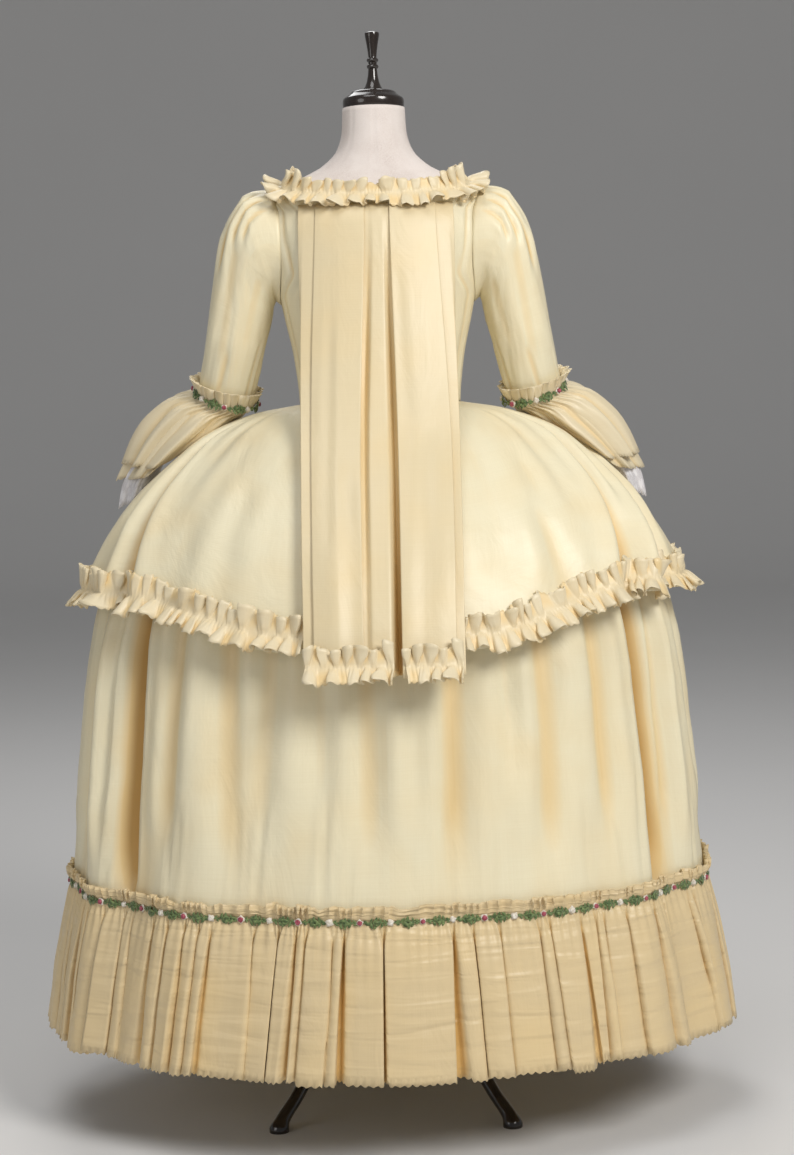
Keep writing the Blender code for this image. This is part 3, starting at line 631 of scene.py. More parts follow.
def armholeReach(z):
    # back and front meet at the side seam and are cut away round the armhole
    below = 1.0 - smooth(*back["armholeFoot"], z)
    above = smooth(*back["armholeHead"], z)
    return mix(math.radians(back["armholeEdge"]), math.radians(back["sideSeam"]), max(below, above))


def backSurface(u, v, relief=0.0):
    turn = 2.0 * u - 1.0
    v = v ** back["closerAtTop"]
    top = mix(gown["napeZ"], gown["neckSideZ"], turn * turn)
    z = mix(top, gown["waistZ"], v)
    edgeZ = mix(gown["neckSideZ"], gown["waistZ"], v)
    return bodicePoint(turn * armholeReach(edgeZ), z, relief)


def backPlace(u, v):
    turn = 2.0 * u - 1.0
    seam = bell((abs(turn) - back["seamAt"]) / back["seamWidth"]) * smooth(0.25, 0.4, v)
    fold = foldSum(backFolds, turn, v)
    edge = smooth(0.0, 0.06, v) * smooth(0.0, 0.05, 1.0 - abs(turn))
    out = (fold - back["seamDepth"] * seam + crumple(u, v, 5.0, 3.0, back["crumple"])) * edge
    return backSurface(u, v, max(out, -gown["dip"])), foldShade(fold, gown["fullShadeDepth"])


clothPiece(back, backPlace, looks["silk"])

front = {"slot": "silk", "columns": 56, "rows": 76, "cut": (0.16, 0.35), "area": 0.036,
         "held": "stretched", "restsOn": ["formTorso"], "crumple": 0.0009}
frontFolds = folds(
    (0.22, 0.10, 0.10, 0.75, 0.045, 1.3, 0.0020, 0.4), (0.55, -0.05, 0.35, 1.0, 0.060, 1.2, 0.0016, 0.4),
    (0.38, 0.02, 0.55, 1.0, 0.040, 1.4, 0.0018, 0.4), (0.12, 0.05, 0.60, 1.0, 0.040, 1.1, 0.0014, 0.4),
)


def frontEdgeX(z):
    rise = smooth(gown["waistZ"] - 0.05, gown["neckFrontZ"], z)
    return mix(gown["openingWaistX"], gown["neckFrontX"], rise)


def frontPlace(u, v):
    down = v ** back["closerAtTop"]
    sideZ = mix(gown["neckSideZ"], gown["waistZ"], down)
    edgeZ = mix(gown["neckFrontZ"], gown["waistZ"], down)
    cut = torsoAt(edgeZ)
    start = math.pi - armholeReach(sideZ)
    end = math.pi - angleAt(frontEdgeX(edgeZ), cut.halfWidth + gown["ease"], cut.squareness)
    fold = foldSum(frontFolds, u, v)
    edge = smooth(0.0, 0.06, v) * smooth(0.0, 0.06, u) * smooth(0.0, 0.04, 1.0 - u)
    out = (fold + crumple(u, v, 4.0, 9.0, front["crumple"])) * edge
    point = bodicePoint(mix(start, end, u), mix(sideZ, edgeZ, u ** 0.8), max(out, -gown["dip"]))
    return point, foldShade(fold, gown["fullShadeDepth"])


stomacher = {"name": "stomacher", "nodes": ["stomacher"], "slot": "silk", "columns": 48, "rows": 48,
             "cut": (0.20, 0.25), "held": "stretched", "restsOn": ["formTorso"], "tuckUnder": 0.012,
             "seamWidth": 0.008, "seamDepth": 0.0005, "crumple": 0.0005}


def stomacherPlace(u, v):
    z = mix(gown["neckFrontZ"] + 0.004, gown["waistZ"], v)
    cut = torsoAt(z)
    reach = angleAt(frontEdgeX(z) + stomacher["tuckUnder"], cut.halfWidth, cut.squareness)
    inside = gown["cadWall"] + 4 * gown["seam"]
    seam = stomacher["seamDepth"] * bell((u - 0.5) / stomacher["seamWidth"])
    out = crumple(u, v, 4.0, 14.0, stomacher["crumple"]) - seam
    return bodicePoint(math.pi + mix(-reach, reach, u), z, out - inside), 0.0


clothPiece(stomacher, stomacherPlace, looks["silk"])
for side, label in hands:
    front.update(name=f"bodiceFront{label}", nodes=[f"bodice_front_{label.lower()}"])
    clothPiece(front, frontPlace, looks["silk"], side)
print("bodice made")


# the petticoat

petticoat = {"name": "petticoat", "nodes": ["petticoat"], "slot": "silk", "columns": 420, "rows": 60,
             "cut": (2.85, 0.78), "held": "gathered", "restsOn": ["formTorso"],
             "bandTop": 1.0955, "bandBottom": 1.074, "bandDown": 0.05, "gatherDown": 0.98,
             "gatherZ": 0.362, "foldGain": 1.35, "fullShadeDepth": 0.022, "waistGathers": 0.0030, "crumple": 0.0032}
petticoatAt = readTable(Skirt, [
    (0.05, 1.060, 0.196, 0.138, 0.128),
    (0.14, 1.030, 0.262, 0.176, 0.163),
    (0.25, 0.975, 0.335, 0.218, 0.198),
    (0.38, 0.895, 0.398, 0.258, 0.238),
    (0.52, 0.800, 0.436, 0.294, 0.273),
    (0.66, 0.690, 0.459, 0.322, 0.306),
    (0.80, 0.560, 0.474, 0.342, 0.330),
    (0.92, 0.440, 0.486, 0.358, 0.350),
    (0.98, 0.362, 0.495, 0.369, 0.363),
    (1.00, 0.350, 0.4955, 0.3695, 0.3635),
])
# angle from the centre back, width and depth of the folds that run into the gathers
longFolds = [
    (24, 8, 0.006), (52, 7, 0.014), (76, 8, 0.008), (118, 8, 0.010), (150, 9, 0.008), (-12, 8, 0.005),
    (-40, 8, 0.007), (-58, 7, 0.014), (-84, 8, 0.008), (-125, 9, 0.010), (-155, 9, 0.007),
]
PanelEdge = namedtuple("PanelEdge", "at hand depth wide column lip")
# the back breadth ends in a pressed edge; a deep fold lies behind it, then a round column of cloth
panelEdges = [PanelEdge(53.0, 1, 0.044, 5.2, 0.011, 0.003), PanelEdge(-54.0, -1, 0.046, 4.8, 0.012, 0.003)]
skirtFolds = folds(
    (62.5, 0.0, 0.44, 1.0, 1.6, 1.0, 0.009, 0.5), (-63.0, 1.0, 0.40, 0.95, 1.7, 1.0, 0.010, 0.5),
    (31.0, -3.0, 0.36, 1.0, 3.4, 1.0, 0.0090, 0.5), (21.0, 2.0, 0.34, 0.90, 2.6, 1.1, 0.0075, 0.5),
    (12.0, -1.0, 0.36, 0.84, 2.4, 1.0, 0.0050, 0.5), (4.0, -1.0, 0.36, 0.95, 3.0, 1.0, 0.0070, 0.5),
    (-5.0, 0.0, 0.36, 0.86, 2.2, 1.0, 0.0055, 0.5), (-13.0, 2.0, 0.34, 0.95, 2.8, 1.0, 0.0080, 0.5),
    (-22.0, -1.0, 0.36, 0.80, 2.2, 1.0, 0.0070, 0.5), (-31.0, 2.0, 0.34, 1.0, 3.2, 1.0, 0.0095, 0.5),
    (-43.0, 0.0, 0.36, 0.90, 2.2, 1.1, 0.0085, 0.5), (42.0, 1.0, 0.36, 0.92, 2.4, 1.1, 0.0080, 0.5),
    (74.0, 3.0, 0.36, 0.98, 3.2, 1.0, 0.009, 0.5), (-78.0, -3.0, 0.36, 0.98, 3.2, 1.0, 0.009, 0.5),
    (92.0, 2.0, 0.40, 1.0, 3.4, 1.1, 0.011, 0.5), (-96.0, 1.0, 0.40, 1.0, 3.6, 1.1, 0.011, 0.5),
    (112.0, 2.0, 0.30, 1.0, 3.4, 1.2, 0.014, 0.45), (-114.0, -3.0, 0.30, 1.0, 3.2, 1.2, 0.014, 0.45),
    (128.0, -2.0, 0.20, 0.9, 2.8, 1.4, 0.007, 0.5), (-131.0, 3.0, 0.20, 0.95, 3.0, 1.3, 0.008, 0.5),
    (143.0, 3.0, 0.16, 1.0, 3.2, 1.3, 0.010, 0.5), (-146.0, 2.0, 0.18, 0.88, 2.6, 1.3, 0.007, 0.5),
    (158.0, -2.0, 0.16, 0.92, 2.8, 1.3, 0.007, 0.5), (-160.0, -3.0, 0.16, 1.0, 3.2, 1.3, 0.010, 0.5),
    (172.0, 2.0, 0.14, 1.0, 3.0, 1.4, 0.008, 0.5), (-174.0, -2.0, 0.16, 0.9, 2.6, 1.3, 0.006, 0.5),
)
# short drag lines that rise from the gathers of the flounce
dragPick = random.Random(5)
skirtDrags = [
    Fold(at + dragPick.uniform(-2.5, 2.5), dragPick.uniform(-2.2, 2.2), dragPick.uniform(0.78, 0.88), 0.995,
         dragPick.uniform(0.45, 0.85), 1.0, dragPick.uniform(0.0022, 0.0042), 0.6)
    for at in range(-180, 180, 8)
]


def longFoldDepth(degrees):
    total = 0.0
    for at, width, depth in longFolds:
        off = (degrees - at) / width
        total += depth * (0.5 * bell(off - 1.4) - bell(off))
    return total


def panelFold(degrees, down):
    total = 0.0
    for edge in panelEdges:
        off = (degrees - edge.at) * edge.hand
        if off < -6.0 or off > 6.0 * edge.wide:
            continue
        valley = bell(off / (0.7 if off < 0.0 else edge.wide))
        column = bell((off - 2.2 * edge.wide) / edge.wide)
        total += edge.column * column + edge.lip * bell(off + 1.8) - edge.depth * valley
    return total * smooth(0.42, 0.60, down) * (1.0 - smooth(0.90, 0.985, down))


def petticoatSurface(angle, down, relief=0.0):
    angle = math.remainder(angle, math.tau)
    bandDown = petticoat["bandDown"]
    if down < bandDown:
        # a waistband on the form, which then opens out into the skirt
        z = mix(petticoat["bandTop"], petticoat["bandBottom"], min(2.0 * down / bandDown, 1.0))
        band = torsoPoint(angle, z, gown["cadWall"] + 2 * gown["seam"])
        if down < bandDown / 2:
            return band
        return band.lerp(petticoatSurface(angle, bandDown), 2.0 * down / bandDown - 1.0)
    cut = petticoatAt(down)
    out = longFoldDepth(math.degrees(angle)) * smooth(0.30, 0.95, down) + relief
    x, y = oval(angle, cut.halfWidth + out, cut.back + out, cut.front + out)
    return Vector((x, y, cut.z))


def petticoatPlace(u, v):
    degrees = math.remainder(u * 360.0, 360.0)
    fold = petticoat["foldGain"] * foldSum(skirtFolds, degrees, v, 360.0) * (1.0 - smooth(0.84, 0.97, v))
    fold += panelFold(degrees, v)
    waist = smooth(0.05, 0.12, v) * (1.0 - smooth(0.16, 0.36, v))
    gathers = petticoat["waistGathers"] * waist * math.sin(degrees * 0.62 + 3.0 * math.sin(degrees * 0.11))
    around = u * math.tau
    soft = crumple(4.0 * math.sin(around), v * 9.0 + math.cos(around), 1.3, 21.0, petticoat["crumple"])
    soft *= smooth(0.14, 0.4, v) * (1.0 - smooth(0.88, 0.97, v))
    drags = foldSum(skirtDrags, degrees, v, 360.0) * (1.0 - smooth(0.955, 0.975, v))
    point = petticoatSurface(around, v, fold + gathers + soft + drags)
    # painted shade in the folds and the long folds
    depth = fold + 0.6 * longFoldDepth(degrees) * smooth(0.3, 0.95, v)
    return point, foldShade(depth, petticoat["fullShadeDepth"])


clothPiece(petticoat, petticoatPlace, looks["silk"])
print("petticoat made")


# the flounce, gathered on at a heading

flounce = {"name": "hemFlounce", "nodes": ["petticoat_flounce"], "slot": "silk", "columns": 1480, "rows": 24,
           "headingRows": 6, "heading": 0.021, "hemZ": 0.141, "cut": (5.0, 0.25), "held": "gathered",
           "restsOn": ["petticoat"], "pinkPitch": 0.0118, "pinkDepth": 0.0044, "seed": 12,
           "lobe": 0.0250, "pucker": 0.0170, "fullShadeDepth": 0.015, "firstPleat": 0.010, "lastGap": 0.022,
           "wholeShare": 0.72, "openings": (0.002, 0.004, 0.008, 0.013, 0.020), "meanSide": 8,
           "pitches": (0.015, 0.020, 0.027, 0.034, 0.042, 0.050, 0.064),
           "deepPleat": (0.011, 0.020), "shallowPleat": (0.006, 0.011), "crumple": 0.0016,
           "puckerDepth": 0.0030, "headingCurl": 0.0036, "headingSlide": 0.0030, "headingSweep": 0.0060,
           "headingRagged": 0.0075, "headingPink": 0.0016}
Gather = namedtuple("Gather", "z lift")
flounceLift = readTable(Gather, [
    (0.383, 0.0052), (0.370, 0.0036), (0.362, 0.0010), (0.352, 0.0048),
    (0.340, 0.0085), (0.290, 0.0200), (0.141, 0.0450),
])


def gatherPath(steps=1800):
    # points round the gathering line, and how far along it each one lies
    down = petticoat["gatherDown"]
    ring = np.array([petticoatSurface(k * math.tau / steps, down)[:2] for k in range(steps + 1)])
    lengths = np.concatenate([[0.0], np.cumsum(np.hypot(*np.diff(ring, axis=0).T))])
    return ring, lengths


gatherRing, gatherLengths = gatherPath()
gatherCut = petticoatAt(petticoat["gatherDown"])
gatherAround = float(gatherLengths[-1])


def onGather(along):
    along = along % gatherAround
    x = float(np.interp(along, gatherLengths, gatherRing[:, 0]))
    y = float(np.interp(along, gatherLengths, gatherRing[:, 1]))
    way = Vector((x / gatherCut.halfWidth ** 2, y / gatherCut.back ** 2, 0.0)).normalized()
    return Vector((x, y, petticoat["gatherZ"])), way


def flouncePleats(seed):
    # where each pleat opens, how deep it is and under which panel it leans; flat panels lie between
    pick = random.Random(seed)
    pleats = []
    along = flounce["firstPleat"]
    while along < gatherAround - flounce["lastGap"]:
        whole = pick.random() < flounce["wholeShare"]
        sway = noise.noise(Vector((along * 7.0, 3.0, 0.5)))
        pleats.append({
            "at": along,
            "slant": 0.030 * sway + pick.uniform(-0.003, 0.003),
            "depth": pick.uniform(*flounce["deepPleat" if whole else "shallowPleat"]),
            "open": pick.choice(flounce["openings"]),
            "lean": pick.choice((-1, 1)) * pick.uniform(0.002, 0.009),
            "end": 1.0 if whole else pick.uniform(0.35, 0.75),
            "bulge": pick.uniform(-0.001, 0.004),
            "tilt": pick.uniform(-0.005, 0.005),
            "sag": pick.uniform(-0.004, 0.004),
        })
        along += pick.choice(flounce["pitches"]) * pick.uniform(0.85, 1.15)
    return pleats


def clothMarks(pleats, starts, ends):
    # the cloth up to each turn: into the pleat, across its floor, out again and over the next panel
    marks = [0.0]
    for start, end, pleat in zip(starts, ends, pleats):
        floor = 0.5 * pleat["open"] + 0.002
        turns = (pleat["depth"], floor, pleat["depth"], end - start)
        marks += [marks[-1] + sum(turns[:k + 1]) for k in range(4)]
    return np.array(marks)


def pleatTurns(pleats, starts, t):
    # where each turn lies along the gathers and how far out, at t of the way down to the hem
    alongPoints, outPoints = [], []
    for start, pleat in zip(starts, pleats):
        centre = start + pleat["slant"] * t
        shut = 1.0 if pleat["end"] >= 1.0 else 1.0 - smooth(pleat["end"] - 0.12, pleat["end"] + 0.12, t)
        half = mix(0.0008, pleat["open"] * 0.5, t ** 0.8) * max(shut, 0.3)
        deep = pleat["depth"] * smooth(0.0, 0.20, t) * shut
        lean = pleat["lean"] * smooth(0.05, 0.6, t) * shut
        tilt = pleat["tilt"] * smooth(0, 0.5, t)
        inner = (centre - 0.45 * half + lean, centre + 0.45 * half + lean)
        alongPoints += [centre - half, *inner, centre + half]
        outPoints += [tilt, -deep, -0.86 * deep, -tilt]
    return alongPoints + [alongPoints[0] + gatherAround], outPoints + [outPoints[0]]


def easedAlong(folded, trend, blend):
    # just under the gathers a column stays at the mean place of its neighbours
    drift = (folded - trend)[:-1]
    side = flounce["meanSide"]
    count = 2 * side + 1
    ringed = np.concatenate([drift[-side:], drift, drift[:side + 1]])
    eased = np.convolve(ringed, np.full(count, 1.0 / count), mode="valid")
    return trend + eased + (np.append(drift, drift[0]) - eased) * blend


def panelShapes(pleats, cloth, at, t):
    # each panel bellies out between its two folds and hangs a little lower or higher
    panel, sag = np.zeros_like(at), np.zeros_like(at)
    for k, pleat in enumerate(pleats):
        first, last = cloth[4 * k + 3], cloth[4 * k + 4]
        span = (at > first) & (at < last)
        belly = np.sin(math.pi * (at[span] - first) / (last - first))
        panel[span] = belly * pleat["bulge"] * smooth(0.0, 0.6, t)
        sag[(at > cloth[4 * k + 2]) & (at <= last)] = pleat["sag"] * t
    return panel, sag


def flounceRows():
    # for every row, the place along the gathering line, the way out and the height of each column
    pleats = flouncePleats(flounce["seed"])
    starts = np.array([pleat["at"] for pleat in pleats])
    cloth = clothMarks(pleats, starts, np.append(starts[1:], gatherAround + starts[0]))
    columns, rowCount, headingRows = flounce["columns"], flounce["rows"], flounce["headingRows"]
    at = np.linspace(0.0, cloth[-1], columns + 1)
    ring = np.linspace(0.0, math.tau, columns + 1)
    spots = [Vector((0.62 * math.cos(turn), 0.62 * math.sin(turn), 0.0)) for turn in ring]
    waves, ragged, sweep = (
        np.array([noise.noise(spot * scale + Vector((0.0, 0.0, seed))) for spot in spots])
        for scale, seed in ((14.0, 5.0), (38.0, 8.0), (6.0, 11.0))
    )

    def turns(pitch):
        # whole turns fit round the cloth, so the ends meet
        return ring * round(cloth[-1] / pitch)

    puckers = np.sin(turns(flounce["pucker"]) + 6.0 * waves) * (1.0 + 0.9 * ragged)
    lobeTurn = turns(flounce["lobe"]) + 7.0 * waves
    lobes = 2.0 * np.abs(np.sin(lobeTurn / 2.0)) ** 0.8 - 1.0
    tooth = np.abs(np.sin(turns(flounce["pinkPitch"]) / 2.0))
    gatherZ, hemZ = petticoat["gatherZ"], flounce["hemZ"]
    trend = gatherAround * at / cloth[-1]
    rows = []
    for row in range(rowCount + 1):
        if row <= headingRows:
            t, up = 0.0, 1.0 - row / headingRows
            z = gatherZ + flounce["heading"] * up
        else:
            t, up = ((row - headingRows) / (rowCount - headingRows)) ** 1.2, 0.0
            z = mix(gatherZ, hemZ, t)
        alongPoints, outPoints = pleatTurns(pleats, starts, t)
        along = easedAlong(np.interp(at, cloth, alongPoints), trend, smooth(0.0, 0.16, t))
        along += (flounce["headingSlide"] * up * np.sin(lobeTurn) * (1.0 + ragged)
                  + flounce["headingSweep"] * up * sweep)
        out = np.interp(at, cloth, outPoints)
        panel, sag = panelShapes(pleats, cloth, at, t)
        pucker = flounce["puckerDepth"] * math.exp(-t / 0.14) * smooth(0.0, 0.05, t) * puckers
        pucker += flounce["headingCurl"] * smooth(0.0, 0.6, up) * lobes * (1.0 + 1.1 * ragged)
        dents = np.array([
            crumple(3.0 * spot.x, 3.0 * spot.y + t * 2.0, 3.0, 31.0, flounce["crumple"]) for spot in spots
        ])
        height = z + up * flounce["headingRagged"] * ragged - sag
        if row >= rowCount - 1:
            height += (flounce["pinkDepth"] * (0.6 - tooth)) * (1.0 if row == rowCount else 0.2)
        if row == 0:
            height += flounce["headingPink"] * tooth
        rows.append((along, out + panel + pucker + dents * smooth(0.1, 0.5, t), height))
    return rows


flounceGrid = flounceRows()


def flouncePlace(u, v):
    row, column = round(v * flounce["rows"]), round(u * flounce["columns"])
    along, out, height = (float(values[column % flounce["columns"]]) for values in flounceGrid[row])
    base, way = onGather(along)
    lift = flounceLift(max(height, flounce["hemZ"])).lift + out
    if row <= flounce["headingRows"]:
        lift = max(lift, 0.0008)
    point = base + way * (gown["cadWall"] + 2 * gown["seam"] + lift)
    point.z = height
    # painted shade inside the pleats
    return point, foldShade(out, flounce["fullShadeDepth"])


clothPiece(flounce, flouncePlace, looks["flounceSilkPaintedShade"])
print("flounce made")


# the two skirts of the gown, left and right of the train
peplumAt = readTable(Skirt, [
    (0.00, 1.0960, 0.1248, 0.0988, 0.0948),
    (0.10, 1.084, 0.193, 0.132, 0.122),
    (0.22, 1.058, 0.257, 0.172, 0.157),
    (0.36, 1.016, 0.313, 0.212, 0.190),
    (0.52, 0.958, 0.376, 0.254, 0.226),
    (0.70, 0.892, 0.426, 0.292, 0.262),
    (0.86, 0.828, 0.459, 0.322, 0.290),
    (1.00, 0.770, 0.479, 0.345, 0.312),
    (1.10, 0.728, 0.490, 0.358, 0.325),
])
peplum = {"slot": "silk", "columns": 172, "rows": 68, "cut": (0.68, 0.48), "held": "gathered",
          "restsOn": ["petticoat"], "underTrain": 0.075, "frontWaist": math.radians(158),
          "frontHem": math.radians(117), "hemBack": 1.062, "hemSide": {1: 0.925, -1: 0.905}, "fullShadeDepth": 0.022,
          "waistGathers": 0.0011, "crumple": 0.0034}
peplumFolds = {
    1: folds(
        (72.0, -15.5, 0.10, 1.0, 2.1, 1.7, 0.024, 0.55), (92.0, -5.0, 0.12, 1.0, 2.8, 1.6, 0.016, 0.5),
        (82.0, -9.0, 0.08, 0.72, 1.8, 1.6, 0.007, 0.5), (45.0, -2.0, 0.30, 1.0, 3.6, 1.3, 0.0036, 0.5),
        (33.0, -2.0, 0.42, 0.95, 2.8, 1.3, 0.0034, 0.5), (57.0, -7.0, 0.05, 0.66, 2.6, 1.5, 0.0046, 0.5),
        (106.0, -6.0, 0.10, 1.0, 3.4, 1.5, 0.013, 0.5), (121.0, -8.0, 0.10, 0.90, 3.0, 1.4, 0.009, 0.5),
        (137.0, -14.0, 0.10, 0.80, 3.0, 1.4, 0.006, 0.5),
    ),
    -1: folds(
        (72.0, -20.0, 0.08, 1.0, 1.9, 1.9, 0.024, 0.6), (92.0, -29.0, 0.08, 1.0, 2.2, 1.8, 0.023, 0.6),
        (81.0, -22.0, 0.06, 0.86, 1.5, 1.6, 0.009, 0.6), (101.0, -27.0, 0.10, 0.90, 1.6, 1.6, 0.010, 0.5),
        (42.0, -9.0, 0.30, 0.95, 3.0, 1.4, 0.0046, 0.5), (27.0, -4.0, 0.10, 0.80, 3.0, 1.5, 0.0034, 0.5),
        (54.0, -8.0, 0.06, 0.62, 2.2, 1.5, 0.0044, 0.5), (33.0, 5.0, 0.50, 1.0, 2.4, 1.3, 0.0036, 0.5),
        (107.0, -14.0, 0.10, 1.0, 3.2, 1.6, 0.015, 0.5), (122.0, -10.0, 0.10, 0.90, 3.0, 1.4, 0.009, 0.5),
        (136.0, -14.0, 0.10, 0.80, 3.0, 1.4, 0.006, 0.5),
    ),
}


def peplumReach(angle, side):
    # the hem is longest at the back and shorter over the sides, most of all on the wearer's right
    forward = smooth(math.radians(15.0), math.radians(52.0), angle)
    return mix(peplum["hemBack"], peplum["hemSide"][side], forward)


def peplumPlace(side):
    def place(u, v):
        cut = peplumAt(v)
        start = angleAt(peplum["underTrain"], cut.halfWidth)
        end = mix(peplum["frontWaist"], peplum["frontHem"], v ** 0.8)
        angle = mix(start, end, u)
        degrees = math.degrees(angle)
        cut = peplumAt(v * peplumReach(angle, side))
        fold = foldSum(peplumFolds[side], degrees, v)
        gathers = peplum["waistGathers"] * smooth(0.01, 0.05, v) * (1.0 - smooth(0.07, 0.20, v))
        gathers *= math.sin(degrees * 1.15 + 3.0 * math.sin(degrees * 0.17 * (1.0 + 0.2 * side)))
        soft = crumple(u * 4.0, v * 3.0, 1.4, 41.0 + side, peplum["crumple"]) * smooth(0.12, 0.4, v)
        out = fold + gathers + soft
        squareness = mix(2.2, 2.0, smooth(0.0, 0.2, v))
        x, y = oval(angle, cut.halfWidth + out, cut.back + out, cut.front + out, squareness)
        return Vector((x, y, cut.z)), foldShade(fold, peplum["fullShadeDepth"])

    return place


for side, label in hands:
    peplum.update(name=f"peplum{label}", nodes=[f"peplum_{label.lower()}"])
    clothPiece(peplum, peplumPlace(side), looks["silk"], side)
print("peplums made")


# the train, which falls in box pleats from the neck
trainAt = readTable(Fall, [
    (0.00, 1.396, 0.1020, 0.0172, 0.109), (0.04, 1.372, 0.1138, 0.0180, 0.110),
    (0.09, 1.340, 0.1222, 0.0190, 0.111), (0.20, 1.260, 0.138, 0.017, 0.114),
    (0.34, 1.160, 0.162, 0.012, 0.117), (0.48, 1.060, 0.203, 0.008, 0.118),
    (0.62, 0.960, 0.270, 0.006, 0.117), (0.77, 0.860, 0.327, 0.005, 0.116),
    (0.89, 0.780, 0.362, 0.005, 0.115), (1.00, 0.712, 0.384, 0.006, 0.115),
])
Pleat = namedtuple("Pleat", "xTop xHem liftTop liftWaist liftHem share")
# from the wearer's right to left: x in half widths, and the cloth up to the next edge
pleats = [Pleat(*row) for row in (
    (-1.07, -0.90, 0.0000, -0.006, -0.010, 1.0), (-1.00, -1.00, 0.0002, 0.000, 0.000, 1.6),
    (-0.79, -0.85, 0.0000, 0.001, 0.001, 0.5), (-0.83, -0.90, 0.0024, 0.008, 0.009, 2.6),
    (-0.50, -0.55, 0.0026, 0.010, 0.012, 2.8), (-0.18, -0.215, 0.0026, 0.010, 0.011, 0.8),
    (-0.215, -0.25, -0.0002, -0.007, -0.013, 1.0), (-0.14, -0.18, -0.0002, -0.013, -0.025, 1.0),
    (-0.09, -0.10, 0.0006, 0.002, 0.006, 1.3), (0.045, 0.14, 0.0006, 0.003, 0.006, 1.0),
    (0.10, 0.20, -0.0002, -0.010, 0.000, 0.8), (0.19, 0.29, -0.0002, -0.006, 0.001, 0.6),
    (0.152, 0.245, 0.0026, 0.010, 0.010, 2.6), (0.50, 0.55, 0.0026, 0.011, 0.012, 2.8),
    (0.84, 0.87, 0.0018, 0.005, 0.006, 0.5), (0.81, 0.84, 0.0000, 0.001, 0.001, 1.6),
    (1.00, 1.00, 0.0002, 0.000, 0.000, 1.0), (1.07, 0.90, 0.0000, -0.006, -0.010, 0.0),
)]
train = {"name": "train", "nodes": ["train"], "slot": "silk", "columns": 210, "rows": 76,
         "cut": (0.36, 0.72), "held": "hung", "restsOn": ["bodiceBack", "peplumLeft", "peplumRight"],
         "shadeFrom": 0.002, "fullShadeDepth": 0.024, "crumple": 0.0022}
trainFolds = folds(
    (0.24, 0.020, 0.45, 1.0, 0.030, 1.6, 0.0022, 0.5), (0.70, -0.020, 0.50, 1.0, 0.034, 1.5, 0.0024, 0.5),
    (0.78, 0.012, 0.20, 0.70, 0.022, 1.3, 0.0012, 0.4), (0.33, -0.014, 0.12, 0.55, 0.024, 1.4, 0.0010, 0.4),
)
pleatEdges = np.concatenate([[0.0], np.cumsum([pleat.share for pleat in pleats[:-1]])])
pleatEdges /= pleatEdges[-1]


@functools.lru_cache(maxsize=400)
def trainRow(down):
    at = np.linspace(0.0, 1.0, train["columns"] + 1)
    shares, lifts = [], []
    for pleat in pleats:
        shares.append(mix(pleat.xTop, pleat.xHem, smooth(0.0, 0.6, down)))
        lift = mix(pleat.liftTop, pleat.liftWaist, smooth(0.0, 0.42, down))
        lifts.append(mix(lift, pleat.liftHem, smooth(0.42, 1.0, down)))
    lines = []
    for values in (shares, lifts):
        line = np.interp(at, pleatEdges, values)
        line[1:-1] = 0.25 * line[:-2] + 0.5 * line[1:-1] + 0.25 * line[2:]
        lines.append(line)
    return lines


def trainPoint(share, lift, down):
    cut = trainAt(down)
    return Vector((share * cut.halfWidth, cut.y - cut.bow * share ** 2 + lift, cut.z))


def trainPlace(u, v):
    shares, lifts = trainRow(v)
    column = round(u * train["columns"])
    fold = foldSum(trainFolds, u, v)
    soft = crumple(u * 3.0, v * 4.0, 1.5, 51.0, train["crumple"]) * smooth(0.05, 0.5, v)
    inner = smooth(0.0, 0.05, u) * smooth(0.0, 0.05, 1.0 - u)
    lift = float(lifts[column]) + max(fold + soft, -gown["dip"]) * inner
    # painted shade where the cloth lies low between the pleats
    shade = foldShade(lift - train["shadeFrom"], train["fullShadeDepth"])
    return trainPoint(float(shares[column]), lift, v), shade


clothPiece(train, trainPlace, looks["trainSilkPaintedShade"])
print("train made")


# the sleeves, gathered into the armhole and tight to below the elbow
sleeveAt = readTable(Sleeve, [
    (0.15, 0.205, 1.416, 0.1575, 1.256, 0.000, 0.069, 0.000),
    (0.32, 0.231, 1.376, 0.161, 1.247, 0.000, 0.064, 0.000),
    (0.48, 0.247, 1.322, 0.163, 1.236, 0.001, 0.058, 0.000),
    (0.63, 0.257, 1.266, 0.167, 1.218, 0.002, 0.054, 0.000),
    (0.77, 0.266, 1.212, 0.177, 1.186, 0.002, 0.050, 0.003),
    (0.89, 0.275, 1.166, 0.187, 1.146, -0.007, 0.047, 0.010),
    (1.00, 0.283, 1.126, 0.1975, 1.104, -0.021, 0.044, 0.017),
])
sleeve = {"slot": "silk", "columns": 120, "rows": 72, "cut": (0.38, 0.31), "held": "stretched",
          "armholeZ": 1.3385, "armholeHalfHeight": 0.0885, "armholeHalfDepth": 0.068, "frontScoop": 0.26,
          "headDown": 0.15, "headRise": 0.0045, "crumple": 0.0020}
